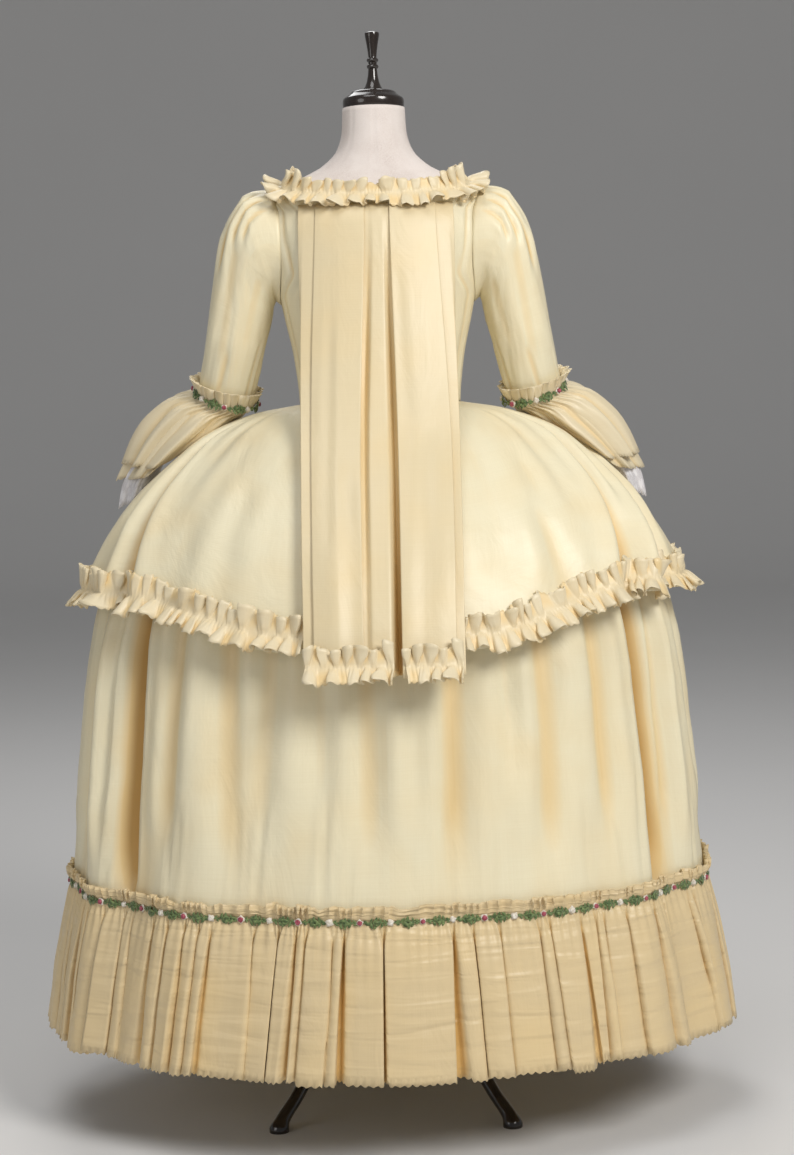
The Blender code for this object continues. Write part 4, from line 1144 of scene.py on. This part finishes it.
sleeveFolds = folds(
    (30.0, -14.0, 0.22, 0.95, 14.0, 1.2, 0.0020, 0.4), (-30.0, 10.0, 0.20, 0.84, 12.0, 1.2, 0.0018, 0.4),
    (-62.0, 20.0, 0.72, 1.0, 5.0, 1.1, 0.0024, 0.5), (-84.0, 22.0, 0.62, 0.98, 5.0, 1.1, 0.0026, 0.5),
    (-100.0, 16.0, 0.50, 0.92, 5.0, 1.2, 0.0020, 0.5), (140.0, 10.0, 0.15, 0.90, 9.0, 1.2, 0.0028, 0.4),
    (176.0, -8.0, 0.12, 0.80, 9.0, 1.2, 0.0028, 0.4), (-140.0, 12.0, 0.25, 0.95, 8.0, 1.2, 0.0030, 0.4),
    (6.0, 16.0, 0.80, 1.0, 6.0, 1.0, 0.0014, 0.4), (62.0, 8.0, 0.84, 1.0, 6.0, 1.0, 0.0013, 0.4),
)
# short gathers where the head of the sleeve is sewn in
sleeveHead = folds(
    (108.0, 8.0, 0.01, 0.30, 3.4, 2.2, 0.0042, 0.5), (94.0, 2.0, 0.01, 0.44, 3.8, 2.4, 0.0050, 0.5),
    (81.0, -4.0, 0.01, 0.36, 3.2, 2.4, 0.0046, 0.5), (68.0, -10.0, 0.01, 0.52, 3.8, 2.4, 0.0050, 0.5),
    (54.0, -14.0, 0.01, 0.34, 3.2, 2.2, 0.0042, 0.5), (40.0, -16.0, 0.01, 0.26, 3.4, 2.0, 0.0034, 0.5),
    (124.0, 10.0, 0.01, 0.34, 3.6, 2.2, 0.0044, 0.5), (139.0, 12.0, 0.01, 0.26, 3.4, 2.0, 0.0036, 0.5),
)


def armholePoint(around, out):
    # the seam runs wider at the lower front, over the scooped edge of the bodice
    scoop = sleeve["frontScoop"] * max(0.0, -math.cos(around)) * (0.5 - 0.5 * math.sin(around))
    y = sleeve["armholeHalfDepth"] * math.cos(around) * (1.0 + scoop)
    z = sleeve["armholeZ"] + sleeve["armholeHalfHeight"] * math.sin(around)
    cut = torsoAt(z)
    grow = bodiceEase(z)
    share = abs(y) / ((cut.back if y > 0 else cut.front) + grow)
    x = (cut.halfWidth + grow) * (1.0 - share ** cut.squareness) ** (1.0 / cut.squareness)
    return Vector((x + out, y, z))


def sleeveRing(cut, around, grow=0.0, scale=1.0):
    # outer side at a quarter turn, back at nought
    middle = Vector(((cut.outerX + cut.innerX) / 2, cut.y, (cut.outerZ + cut.innerZ) / 2))
    across = Vector((cut.outerX - cut.innerX, 0.0, cut.outerZ - cut.innerZ)) / 2
    across += across.normalized() * grow
    back = Vector((0.0, cut.halfDepth + grow, -cut.backDrop))
    return middle + (across * math.sin(around) + back * math.cos(around)) * scale


def sleevePlace(side):
    def place(u, v):
        around = u * math.tau
        degrees = math.degrees(around) + 7.0 * (side < 0)
        fold = foldSum(sleeveFolds, degrees, v, 360.0) + foldSum(sleeveHead, degrees, v, 360.0)
        across, over = 2.2 * math.sin(around), 2.2 * math.cos(around)
        soft = crumple(across, over + 3.0 * v, 1.4, 61.0 + side, sleeve["crumple"])
        out = (fold + soft) * smooth(0.0, 0.05, v) * smooth(0.0, 0.06, 1.0 - v)
        shade = foldShade(fold, gown["fullShadeDepth"])
        low = sleeve["headDown"]
        if v >= low:
            return sleeveRing(sleeveAt(v), around, out), shade
        t = v / low
        clear = mix(0.0012, gown["cadWall"] + 4.5 * gown["seam"], smooth(0.0, 0.5, t))
        head = sleeveRing(sleeveAt(low), around, out)
        # the cloth rises out of the seam before it turns down
        rise = Vector((0.6, 0.0, 0.8)) * sleeve["headRise"] * math.sin(math.pi * t)
        return armholePoint(around, clear).lerp(head, t) + rise, shade

    return place


for side, label in hands:
    sleeve.update(name=f"sleeve{label}", nodes=[f"sleeve_{label.lower()}"],
                  restsOn=["bodiceBack", f"bodiceFront{label}"])
    clothPiece(sleeve, sleevePlace(side), looks["silk"], side)
print("sleeves made")


# two flounces and a lace fall hang from each elbow, one inside the other
elbowAt = readTable(Sleeve, [
    (-0.6, 0.290, 1.142, 0.188, 1.118, -0.014, 0.052, 0.014),
    (0.0, 0.2864, 1.1215, 0.1959, 1.0975, -0.022, 0.0460, 0.018),
    (1.0, 0.322, 1.110, 0.213, 1.090, -0.037, 0.058, 0.020),
    (2.0, 0.356, 1.081, 0.246, 1.069, -0.055, 0.070, 0.022),
    (3.0, 0.382, 1.046, 0.284, 1.048, -0.072, 0.078, 0.022),
    (4.0, 0.399, 1.014, 0.314, 1.033, -0.085, 0.081, 0.020),
    (5.0, 0.414, 0.988, 0.334, 1.020, -0.094, 0.079, 0.018),
    (6.0, 0.422, 0.962, 0.347, 1.006, -0.101, 0.074, 0.016),
    (7.0, 0.427, 0.936, 0.354, 0.990, -0.106, 0.068, 0.014),
])
Layer = namedtuple("Layer", "name node first last order slot wall cut folds ridge teeth toothDepth")
layers = [
    Layer("Upper", "ruffle_upper", -0.6, 4.0, 0, "silk", 0.0009, (0.60, 0.14), 8, 0.0160, 80, 0.110),
    Layer("Lower", "ruffle_lower", 0.12, 5.0, 1, "silk", 0.0009, (0.54, 0.14), 7, 0.0160, 64, 0.110),
    Layer("Lace", "lace", 0.24, 7.0, 2, "lace", 0.0008, (0.46, 0.17), 6, 0.0060, 32, 0.140),
]
elbow = {"waves": 4, "swing": 0.12, "step": 0.125, "columns": 288, "rows": 18, "puckers": 28, "flutes": 23,
         "closerAtTop": 1.25, "headingWave": 0.0092, "headingSet": 0.0030, "headingIn": 0.0052,
         "headingTurn": 0.075, "headingDrop": 0.34, "headingRagged": 0.60,
         "crumple": 0.0018, "puckerDepth": 0.0022}


def layerPlace(layer, side):
    def place(u, v):
        around = u * math.tau
        down = mix(layer.first, layer.last, v ** elbow["closerAtTop"])
        swing = math.cos(elbow["waves"] * around + 0.6) * elbow["swing"] * smooth(0.1, 2.6, down)
        spot = Vector((math.sin(around), math.cos(around), 0.0))
        turn = noise.noise(spot * 1.5 + Vector((0.0, 0.0, 71.0 + layer.order + 3 * side)))
        strength = 1.0 + 0.9 * noise.noise(spot * 2.3 + Vector((0.0, 0.0, 81.0 + layer.order + 3 * side)))
        # soft ridges fan out from the gathers
        ridge = abs(math.cos(0.5 * layer.folds * (around + 0.40 * turn) + layer.order)) ** 1.8
        grow = layer.ridge * strength * (ridge - 0.35) * smooth(0.1, 2.2, down)
        if layer.slot != "lace":
            puckers = math.sin(elbow["puckers"] * (around + 0.16 * turn)) * (0.6 + 0.6 * strength)
            grow += elbow["puckerDepth"] * puckers * smooth(0.02, 0.25, down) * (1.0 - smooth(0.5, 1.7, down))
        if down < 0:
            # the heading stands up in ragged curls
            lobe = 2.0 * abs(math.sin(0.5 * elbow["flutes"] * around + 4.0 * turn)) ** 0.8 - 1.0
            ragged = noise.noise(spot * 9.0 + Vector((0.0, 0.0, 91.0 + side)))
            rise = smooth(-0.02, -0.40, down)
            curl = elbow["headingWave"] * lobe * (1.0 + 1.2 * ragged) - elbow["headingSet"]
            grow += max(-elbow["headingIn"], curl) * rise
            around -= elbow["headingTurn"] * math.sin(elbow["flutes"] * around + 8.0 * turn) * rise
            down -= (elbow["headingDrop"] * lobe + elbow["headingRagged"] * ragged) * rise
        soft = crumple(2.0 * spot.x, 2.0 * spot.y + v, 1.6, 75.0 + layer.order, elbow["crumple"])
        grow += soft * smooth(0.4, 1.4, down)
        tooth = abs(math.sin(math.pi * layer.teeth * u))
        down += layer.toothDepth * (tooth - 1.0) * smooth(1.0 - 1.2 / elbow["rows"], 1.0, v)
        scale = (1.0 - elbow["step"] * layer.order) * (1.0 + swing)
        # painted shade in the valleys between the ridges, growing from the gathers down
        shade = max(0.0, 0.55 - ridge) * smooth(0.1, 1.2, down) * strength * 0.7
        return sleeveRing(elbowAt(down), around, grow, scale), shade

    return place


for side, label in hands:
    for layer in layers:
        elbow.update(name=f"elbow{layer.name}{label}", nodes=[f"elbow_{layer.node}_{label.lower()}"],
                     slot=layer.slot, cut=layer.cut, wall=layer.wall, held="gathered",
                     restsOn=[f"sleeve{label}"])
        look = looks["lace"] if layer.slot == "lace" else looks["frillSilk"]
        clothPiece(elbow, layerPlace(layer, side), look, side)
print("elbow flounces made")


# strips gathered along their middle, with pinked edges
Frill = namedtuple("Frill", "name nodes half seed lift clear restsOn tall ends", defaults=(None, None))
frill = {"slot": "silk", "held": "gathered", "columnsEach": 22, "rows": 12, "swing": 0.0066, "bend": 0.0027,
         "lean": 0.0056, "curl": 0.0026, "pinkPitch": 0.0078, "pinkDepth": 0.0030, "pitch": 0.0225,
         "tuckPitch": 0.0056, "tuck": 0.0012, "upperLift": 0.34, "fullness": 2.0,
         "edgeRoll": 0.16, "waves": (0.40, 0.92, 1.45)}
# how each measure strays from flute to flute: by how much, over what length, and its seed
stray = {"pitch": (7.0, 0.058, 0), "finePitch": (1.4, 0.021, 3), "wave": (1.5, 0.032, 5),
         "lean": (2.2, 0.044, 9), "tall": (0.40, 0.019, 13)}


def wander(along, length, seed):
    return noise.noise(Vector((along / length, seed * 3.7, 0.5)))


def strayAt(key, along, seed):
    much, length, ownSeed = stray[key]
    return much * wander(along, length, seed + ownSeed)


def outwardOf(surface, u, v, step=0.004):
    across = surface(min(1.0, u + step), v) - surface(max(0.0, u - step), v)
    down = surface(u, min(1.0, v + step)) - surface(u, max(0.0, v - step))
    return across.cross(down).normalized()


def routeLengths(route):
    return np.concatenate([[0.0], np.cumsum([(b[0] - a[0]).length for a, b in zip(route, route[1:])])])


def frillPiece(shape, route, side=1):
    lengths = routeLengths(route)
    total = float(lengths[-1])
    columns = round(total / frill["pitch"]) * frill["columnsEach"]

    def at(along):
        along = min(max(along, 0.0), total)
        k = min(int(np.searchsorted(lengths, along, side="right")) - 1, len(route) - 2)
        t = (along - lengths[k]) / (lengths[k + 1] - lengths[k])
        return route[k][0].lerp(route[k + 1][0], t), route[k][1].lerp(route[k + 1][1], t).normalized()

    @functools.lru_cache(maxsize=columns + 2)
    def flute(column, half):
        # the place, the frame and the wave of one column, on one side of the gathers
        along = column / columns * total
        point, out = at(along)
        tangent = (at(along + 0.006)[0] - at(along - 0.006)[0]).normalized()
        seed = shape.seed + (0 if half > 0 else 40)
        angle = math.tau * along / frill["pitch"] + strayAt("pitch", along, seed)
        angle += strayAt("finePitch", along, seed)
        # round loops that close over narrow valleys; each leans its own way
        lobe = math.cos(angle) + 0.20 * math.cos(2.0 * angle)
        ends = shape.ends(along / total) if shape.ends else 1.0
        least, usual, most = frill["waves"]
        wave = min(max(usual + strayAt("wave", along, seed), least), most) * ends
        lean = strayAt("lean", along, seed)
        tall = (1.0 + strayAt("tall", along, seed)) * ends
        if shape.tall:
            tall *= shape.tall(along / total, half)
        return point, out, tangent, tangent.cross(out).normalized(), angle, lobe, wave, lean, tall, along

    def place(u, v):
        edge = 1.0 - 2.0 * v
        half, w = (1 if edge > 0 else -1), abs(edge)
        point, out, tangent, up, angle, lobe, wave, lean, tall, along = flute(round(u * columns), half)
        open_ = smooth(0.0, 0.8, w)
        close = math.sin(angle) + 0.85 * math.sin(2.0 * angle)
        slide = (frill["lean"] * lean * lobe + frill["bend"] * (0.6 + 0.4 * wave) * close) * open_
        swing = frill["swing"] * wave * lobe * w ** 0.6
        creases = math.sin(math.tau * along / frill["tuckPitch"] + 3.0 * wander(along, 0.03, 77 + shape.seed))
        tuck = frill["tuck"] * creases * (1.0 - w) ** 0.7 * (0.6 + 0.4 * half * creases)
        away = shape.lift * (frill["upperLift"] if half > 0 else 1.0) * w ** 0.6 + swing + tuck
        away += frill["curl"] * wave * (0.5 + 0.5 * lobe) * w ** 4
        tooth = abs(math.sin(math.pi * along / frill["pinkPitch"]))
        reach = shape.half * tall * w + frill["pinkDepth"] * (tooth - 0.5) * (w > 0.97)
        # the edges roll over a little where they stand out
        reach -= frill["edgeRoll"] * max(swing, 0.0) * open_
        away = max(away, 0.0004 + 0.0022 * w) + shape.clear + gown["silk"]
        # painted shade: golden in the valleys between the loops, and along the gathered middle
        shade = 0.46 * smooth(0.1, -0.9, lobe) * smooth(0.0, 0.6, w) + 0.22 * (1.0 - w)
        return point + tangent * slide + up * half * reach + out * away, shade

    spec = dict(frill, name=shape.name, nodes=shape.nodes, columns=columns, restsOn=shape.restsOn,
                cut=(total * frill["fullness"], shape.half * 2.0))
    clothPiece(spec, place, looks["frillSilk"], side)


peplumStrip = {"half": 0.029, "corner": 0.042, "lower": 0.26, "top": 0.16, "besideTrain": 0.004}


def peplumRoute(surface):
    # along the hem from beside the train, round the front corner and up the front edge
    half, corner = peplumStrip["half"], peplumStrip["corner"]

    def mark(fromEdge, fromHem):
        tall = (surface(0.9, 1.0) - surface(0.9, 0.9)).length / 0.1
        v = 1.0 - fromHem / tall
        wide = (surface(1.0, v) - surface(0.96, v)).length / 0.04
        return 1.0 - fromEdge / wide, v

    turn = half + corner
    cornerU, hemV = mark(turn, half)
    hemV = mix(hemV, 1.0, peplumStrip["lower"])
    trainEdge = trainAt(1.0).halfWidth - peplumStrip["besideTrain"]
    start = next(k / 200 for k in range(200) if surface(k / 200, hemV).x > trainEdge)
    marks = [(mix(start, cornerU, k / 120), hemV) for k in range(120)]
    for k in range(25):
        angle = math.radians(k * 90.0 / 24)
        u, v = mark(turn - corner * math.sin(angle), turn - corner * math.cos(angle))
        marks.append((u, mix(v, 1.0, peplumStrip["lower"] * math.cos(angle))))
    topV = marks[-1][1]
    for k in range(1, 61):
        v = mix(topV, peplumStrip["top"], k / 60)
        wide = (surface(1.0, v) - surface(0.96, v)).length / 0.04
        marks.append((1.0 - half / wide, v))
    return [(surface(u, v), outwardOf(surface, u, v)) for u, v in marks]


def evened(route, times=6):
    # the route runs smoothly over the small folds below it
    points, outs = [item[0].copy() for item in route], [item[1].copy() for item in route]
    for _ in range(times):
        for values in (points, outs):
            values[1:-1] = [0.25 * a + 0.5 * b + 0.25 * c for a, b, c in zip(values, values[1:], values[2:])]
    return [(point, out.normalized()) for point, out in zip(points, outs)]


neckLine = {"below": 0.014, "rise": 0.006, "reach": 0.47}
frontLine = {"top": 1.428, "aboveWaist": 0.022, "besideEdge": 0.020, "shoulderX": 0.126, "shoulderZ": 1.425}


def neckRoute():
    route = []
    for k in range(61):
        turn = k / 30 - 1.0
        below = neckLine["below"] - neckLine["rise"] * abs(turn) ** 3
        u = 0.5 + neckLine["reach"] * turn
        v = (below / (gown["napeZ"] - gown["waistZ"])) ** (1.0 / back["closerAtTop"])
        route.append((backSurface(u, v), outwardOf(backSurface, u, v)))
    return route


def frontRoute():
    route = []
    for k in range(41):
        z = mix(frontLine["top"], gown["waistZ"] + frontLine["aboveWaist"], k / 40)
        rise = smooth(gown["neckFrontZ"], frontLine["shoulderZ"], z)
        x = mix(frontEdgeX(z) + frontLine["besideEdge"], frontLine["shoulderX"], rise)
        cut = torsoAt(z)
        angle = math.pi - angleAt(x, cut.halfWidth + bodiceEase(z), cut.squareness)
        point = bodicePoint(angle, z)
        route.append((point, (bodicePoint(angle, z, 0.01) - point).normalized()))
    return route


def trainRoute(firstShare, lastShare, lift, down=0.975):
    fall = trainPoint(0.0, 0.0, 1.0) - trainPoint(0.0, 0.0, down)
    out = Vector((0.0, -fall.z, fall.y)).normalized()
    return [(trainPoint(mix(firstShare, lastShare, k / 24), lift, down), out) for k in range(25)]


def neckTall(u, half):
    # low behind the nape, standing up towards the shoulders
    return mix(0.70, 1.15, smooth(0.25, 0.85, abs(2.0 * u - 1.0))) if half > 0 else 0.92


def trainTall(u, half):
    return 1.0 if half > 0 else 0.84


def peplumEnds(u):
    # the strip narrows where it runs up to the waist
    return mix(1.0, 0.42, smooth(0.86, 1.0, u))


neckStrip = Frill("neckFrill", ["neck_frill"], 0.025, 7, 0.0115, 0.0016, ["bodiceBack", "train"], neckTall)
frillPiece(neckStrip, neckRoute())
for name, first, last, lift in (("Right", -0.975, -0.26, 0.0112), ("Left", -0.12, 0.975, 0.0095)):
    nodes = [f"train_frill_{name.lower()}"]
    strip = Frill(f"trainFrill{name}", nodes, 0.028, 11, 0.0085, 0.0018, ["train"], trainTall)
    frillPiece(strip, trainRoute(first, last, lift))
for side, label in hands:
    surface = peplumPlace(side)
    route = evened(peplumRoute(lambda u, v: surface(u, v)[0]))
    nodes, below = [f"peplum_frill_{label.lower()}"], [f"peplum{label}"]
    strip = Frill(f"peplumFrill{label}", nodes, peplumStrip["half"], 3 - side, 0.0090, 0.0034, below,
                  None, peplumEnds)
    frillPiece(strip, route, side)
    nodes, below = [f"front_frill_{label.lower()}"], [f"bodiceFront{label}"]
    strip = Frill(f"frontFrill{label}", nodes, 0.017, 6 - side, 0.0075, 0.0018, below)
    frillPiece(strip, frontRoute(), side)
print("frills made")


# braids of leaves and small roses cover the gathering lines
garland = {"slot": "braid", "pitch": 0.044, "core": 0.0013, "rose": 0.0056, "leafThick": 0.0005,
           "hemOut": 0.0042, "cuffOut": 0.0024, "cuffDown": -0.10}
Leaf = namedtuple("Leaf", "along up length width turn lift")
# one repeat of the braid, from one rose to the next, in metres and degrees
leafChart = [Leaf(*row) for row in (
    (0.0060, 0.0014, 0.0070, 0.0042, 28, 0.0010), (0.0075, -0.0016, 0.0068, 0.0040, -30, 0.0012),
    (0.0130, 0.0022, 0.0085, 0.0050, 62, 0.0022), (0.0140, -0.0024, 0.0085, 0.0050, -58, 0.0020),
    (0.0165, 0.0010, 0.0095, 0.0056, 24, 0.0030), (0.0180, -0.0012, 0.0095, 0.0056, -22, 0.0032),
    (0.0205, 0.0026, 0.0090, 0.0052, 88, 0.0026), (0.0215, -0.0028, 0.0088, 0.0052, -92, 0.0024),
    (0.0240, 0.0008, 0.0095, 0.0056, 158, 0.0034), (0.0250, -0.0014, 0.0092, 0.0054, 200, 0.0030),
    (0.0275, 0.0024, 0.0085, 0.0050, 126, 0.0020), (0.0285, -0.0022, 0.0085, 0.0050, 232, 0.0022),
    (0.0355, 0.0014, 0.0070, 0.0042, 152, 0.0012), (0.0370, -0.0014, 0.0068, 0.0040, 206, 0.0010),
)]


def faceTo(point, tangent, out):
    up = out.cross(tangent).normalized()
    turn = Matrix((tangent, up, out)).transposed().to_4x4()
    return Matrix.Translation(point) @ turn


def addShape(bm, move, around, rings, material=0):
    # a small closed shape, made on its own and then joined to the braid
    small = bmesh.new()
    bmesh.ops.create_uvsphere(small, u_segments=around, v_segments=rings, radius=1.0)
    for vert in small.verts:
        vert.co = move(vert.co)
    bmesh.ops.recalc_face_normals(small, faces=small.faces)
    for face in small.faces:
        face.material_index = material
        face.smooth = True
    mesh = bpy.data.meshes.new("shape")
    small.to_mesh(mesh)
    small.free()
    bm.from_mesh(mesh)
    bpy.data.meshes.remove(mesh)


def addLeaf(bm, stand, leaf, pick):
    turned = Matrix.Rotation(math.radians(leaf.turn + pick.uniform(-20, 20)), 4, "Z")
    spin = stand @ Matrix.Translation((0.0, leaf.up, 0.0)) @ turned
    size, lift = pick.uniform(0.85, 1.15), leaf.lift * pick.uniform(0.7, 1.3)

    def move(co):
        long, wide, high = co.z, co.x, co.y
        pointed = 1.0 - 0.55 * max(long, 0.0) ** 1.5
        return spin @ Vector((
            leaf.length * 0.5 * size * (long + 0.4), leaf.width * 0.5 * size * wide * pointed,
            garland["leafThick"] * high + lift + 0.0007 * long + 0.0009 * wide * wide,
        ))

    addShape(bm, move, 6, 4)


def addRose(bm, stand, size, material, pick):
    start = pick.uniform(0.0, math.tau)
    # every rose has pale outer petals; the coloured heart sits on them
    heart, rise = (0.66, 0.42) if material == 2 else (0.72, 0.30)

    def petal(co):
        around = math.atan2(co.y, co.x)
        wide = 1.0 + 0.20 * math.sin(4.0 * around + start)
        return stand @ (Vector((co.x * wide, co.y * wide, 0.34 * co.z + 0.30)) * size)

    def move(co):
        around = math.atan2(co.y, co.x)
        ring = math.acos(max(-1.0, min(1.0, co.z)))
        petals = 1.0 + 0.20 * math.sin(3.0 * around + 5.0 * ring + start) * math.sin(ring)
        curl = 0.16 * math.sin(3.2 * ring + around + start) - 0.42 * bell(ring / 0.38)
        flat = Vector((co.x * petals, co.y * petals, 0.70 * co.z * (1.0 + curl)))
        return stand @ ((flat * heart + Vector((0.0, 0.0, 0.30 + rise))) * size)

    addShape(bm, petal, 10, 5, 1)
    addShape(bm, move, 12, 8, material)


def garlandPiece(spec, spots, side=1):
    # spots run all the way round the braid: a point, the way along and the way out
    pick = random.Random(spec["seed"])
    bm = bmesh.new()
    bmesh.ops.create_grid(bm, x_segments=len(spots), y_segments=6, size=0.5)
    for vert in bm.verts:
        point, tangent, out = spots[round((vert.co.x + 0.5) * len(spots)) % len(spots)]
        turn = (0.5 - vert.co.y) * math.tau
        up = out.cross(tangent)
        vert.co = point + garland["core"] * (out * (1.0 + math.cos(turn)) + up * math.sin(turn))
    bmesh.ops.remove_doubles(bm, verts=bm.verts, dist=0.00002)
    bmesh.ops.recalc_face_normals(bm, faces=bm.faces)
    step = len(spots) / spec["repeats"]
    for k in range(spec["repeats"]):
        for leaf in leafChart:
            point, tangent, out = spots[int(k * step + step * leaf.along / garland["pitch"]) % len(spots)]
            addLeaf(bm, faceTo(point + out * 0.0006, tangent, out), leaf, pick)
        colour = 1 + (k + spec["first"]) % 2
        addRose(bm, faceTo(*spots[int(k * step)]), garland["rose"] * pick.uniform(0.88, 1.1), colour, pick)
    if side < 0:
        turnOver(bm)
    piece = finishPiece(bm, spec, looks["leaf"])
    for look in ("whiteRose", "redRose"):
        piece.data.materials.append(looks[look])


def spotOf(point, base, ahead, out):
    # a point with its way along and the way out, square to each other
    tangent = (ahead - base).normalized()
    return point, tangent, (out - tangent * out.dot(tangent)).normalized()


def hemSpots(count=1200):
    spots = []
    for k in range(count):
        base, way = onGather(k * gatherAround / count)
        ahead = onGather(k * gatherAround / count + 0.002)[0]
        spots.append(spotOf(base + way * garland["hemOut"], base, ahead, way))
    return spots


def cuffSpots(count=160):
    spots = []
    cut, lift = elbowAt(garland["cuffDown"]), garland["cuffOut"]
    for k in range(count):
        around = k * math.tau / count
        point = sleeveRing(cut, around, lift)
        out = (sleeveRing(cut, around, 0.02) - point).normalized()
        spots.append(spotOf(point, point, sleeveRing(cut, around + 0.02, lift), out))
    return spots


def evenRepeats(length):
    # an even count, so that white and red take turns all the way round
    return 2 * round(length / garland["pitch"] / 2)


garland.update(name="petticoatGarland", nodes=["petticoat_braid"], seed=17, first=0,
               repeats=evenRepeats(gatherAround))
garlandPiece(garland, hemSpots())
cuff = cuffSpots()
cuffRepeats = evenRepeats(sum((b[0] - a[0]).length for a, b in zip(cuff, cuff[1:] + cuff[:1])))
for side, label in hands:
    garland.update(name=f"cuffGarland{label}", nodes=[f"cuff_braid_{label.lower()}"], seed=19 + side,
                   first=side > 0, repeats=cuffRepeats)
    garlandPiece(garland, cuff, side)
print("garlands made")


# the floor, the light and the camera
room = {"colour": (0.80, 0.79, 0.78), "length": 28.0, "width": 44.0, "front": 8.0,
        "bendAt": 18.0, "radius": 3.0}


def roomMaterial(name, colour):
    made, tree, shader, place = solidMaterial(name, colour, Roughness=0.9)
    darker = tuple(c * 0.97 for c in colour)
    return finishMaterial(made, tree, shader, mixedColor(tree, noiseOver(tree, place, 1.2), darker, colour))


def buildRoom():
    # one sheet that is the floor and turns up behind as a plain wall
    bm = bmesh.new()
    bmesh.ops.create_grid(bm, x_segments=2, y_segments=48, size=0.5)
    bend, radius = room["bendAt"], room["radius"]
    for vert in bm.verts:
        run = (vert.co.y + 0.5) * room["length"]
        turn = min(max((run - bend) / radius, 0.0), math.pi / 2)
        rest = max(run - bend - radius * math.pi / 2, 0.0)
        y = room["front"] - min(run, bend) - radius * math.sin(turn)
        vert.co = Vector((vert.co.x * room["width"], y, radius * (1.0 - math.cos(turn)) + rest))
    mesh = bpy.data.meshes.new("studioFloor")
    bm.to_mesh(mesh)
    bm.free()
    mesh.shade_smooth()
    mesh.materials.append(roomMaterial("studio floor", room["colour"]))
    piece = bpy.data.objects.new("studioFloor", mesh)
    bpy.context.collection.objects.link(piece)
    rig.stage(piece)


def addLight(name, at, to, size, power, colour=(1.0, 1.0, 1.0)):
    lamp = bpy.data.lights.new(name, "AREA")
    lamp.shape, lamp.size, lamp.energy, lamp.color = "DISK", size, power, colour
    holder = bpy.data.objects.new(name, lamp)
    holder.location = at
    holder.rotation_euler = (Vector(to) - Vector(at)).to_track_quat("-Z", "Y").to_euler()
    bpy.context.collection.objects.link(holder)


camera = {"at": (-0.020, 3.6, 1.094), "lens": 72.0, "sensor": 36.0, "down": 4.30, "roll": -1.28}


def buildCamera():
    # behind the gown and level with the waist, looking a little down
    lens = bpy.data.cameras.new("camera")
    lens.lens, lens.sensor_width, lens.sensor_fit = camera["lens"], camera["sensor"], "AUTO"
    holder = bpy.data.objects.new("camera", lens)
    bpy.context.collection.objects.link(holder)
    pitch, roll = math.radians(camera["down"]), math.radians(camera["roll"])
    aim = Vector((0.0, -math.cos(pitch), -math.sin(pitch)))
    look = aim.to_track_quat("-Z", "Y").to_matrix().to_4x4()
    holder.matrix_world = Matrix.Translation(camera["at"]) @ look @ Matrix.Rotation(roll, 4, "Z")
    bpy.context.scene.camera = holder


def buildWorld(colour, strength):
    world = bpy.data.worlds.new("studio")
    world.use_nodes = True
    background = world.node_tree.nodes["Background"]
    background.inputs[0].default_value = (*colour, 1.0)
    background.inputs[1].default_value = strength
    bpy.context.scene.world = world


buildRoom()
addLight("keyLight", (-2.2, 3.3, 3.3), (0.0, 0.0, 0.95), 1.9, 136.0, (1.0, 0.98, 0.95))
addLight("fillLight", (3.3, 3.0, 1.9), (0.0, 0.0, 0.9), 2.0, 18.0, (1.0, 0.98, 0.96))
addLight("topLight", (0.7, 1.8, 4.6), (0.0, 0.0, 0.9), 2.2, 41.0)
addLight("frontLight", (0.6, -2.8, 4.4), (0.0, 0.0, 0.9), 2.4, 40.0)
buildCamera()
buildWorld((0.93, 0.94, 0.95), 0.22)
bpy.context.scene.view_settings.view_transform = "Standard"
print("room made")

with open("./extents.json", "w") as file:
    json.dump({"cad": [list(corner) for corner in cadBounds], "visual": [list(corner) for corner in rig.bounds()]}, file)
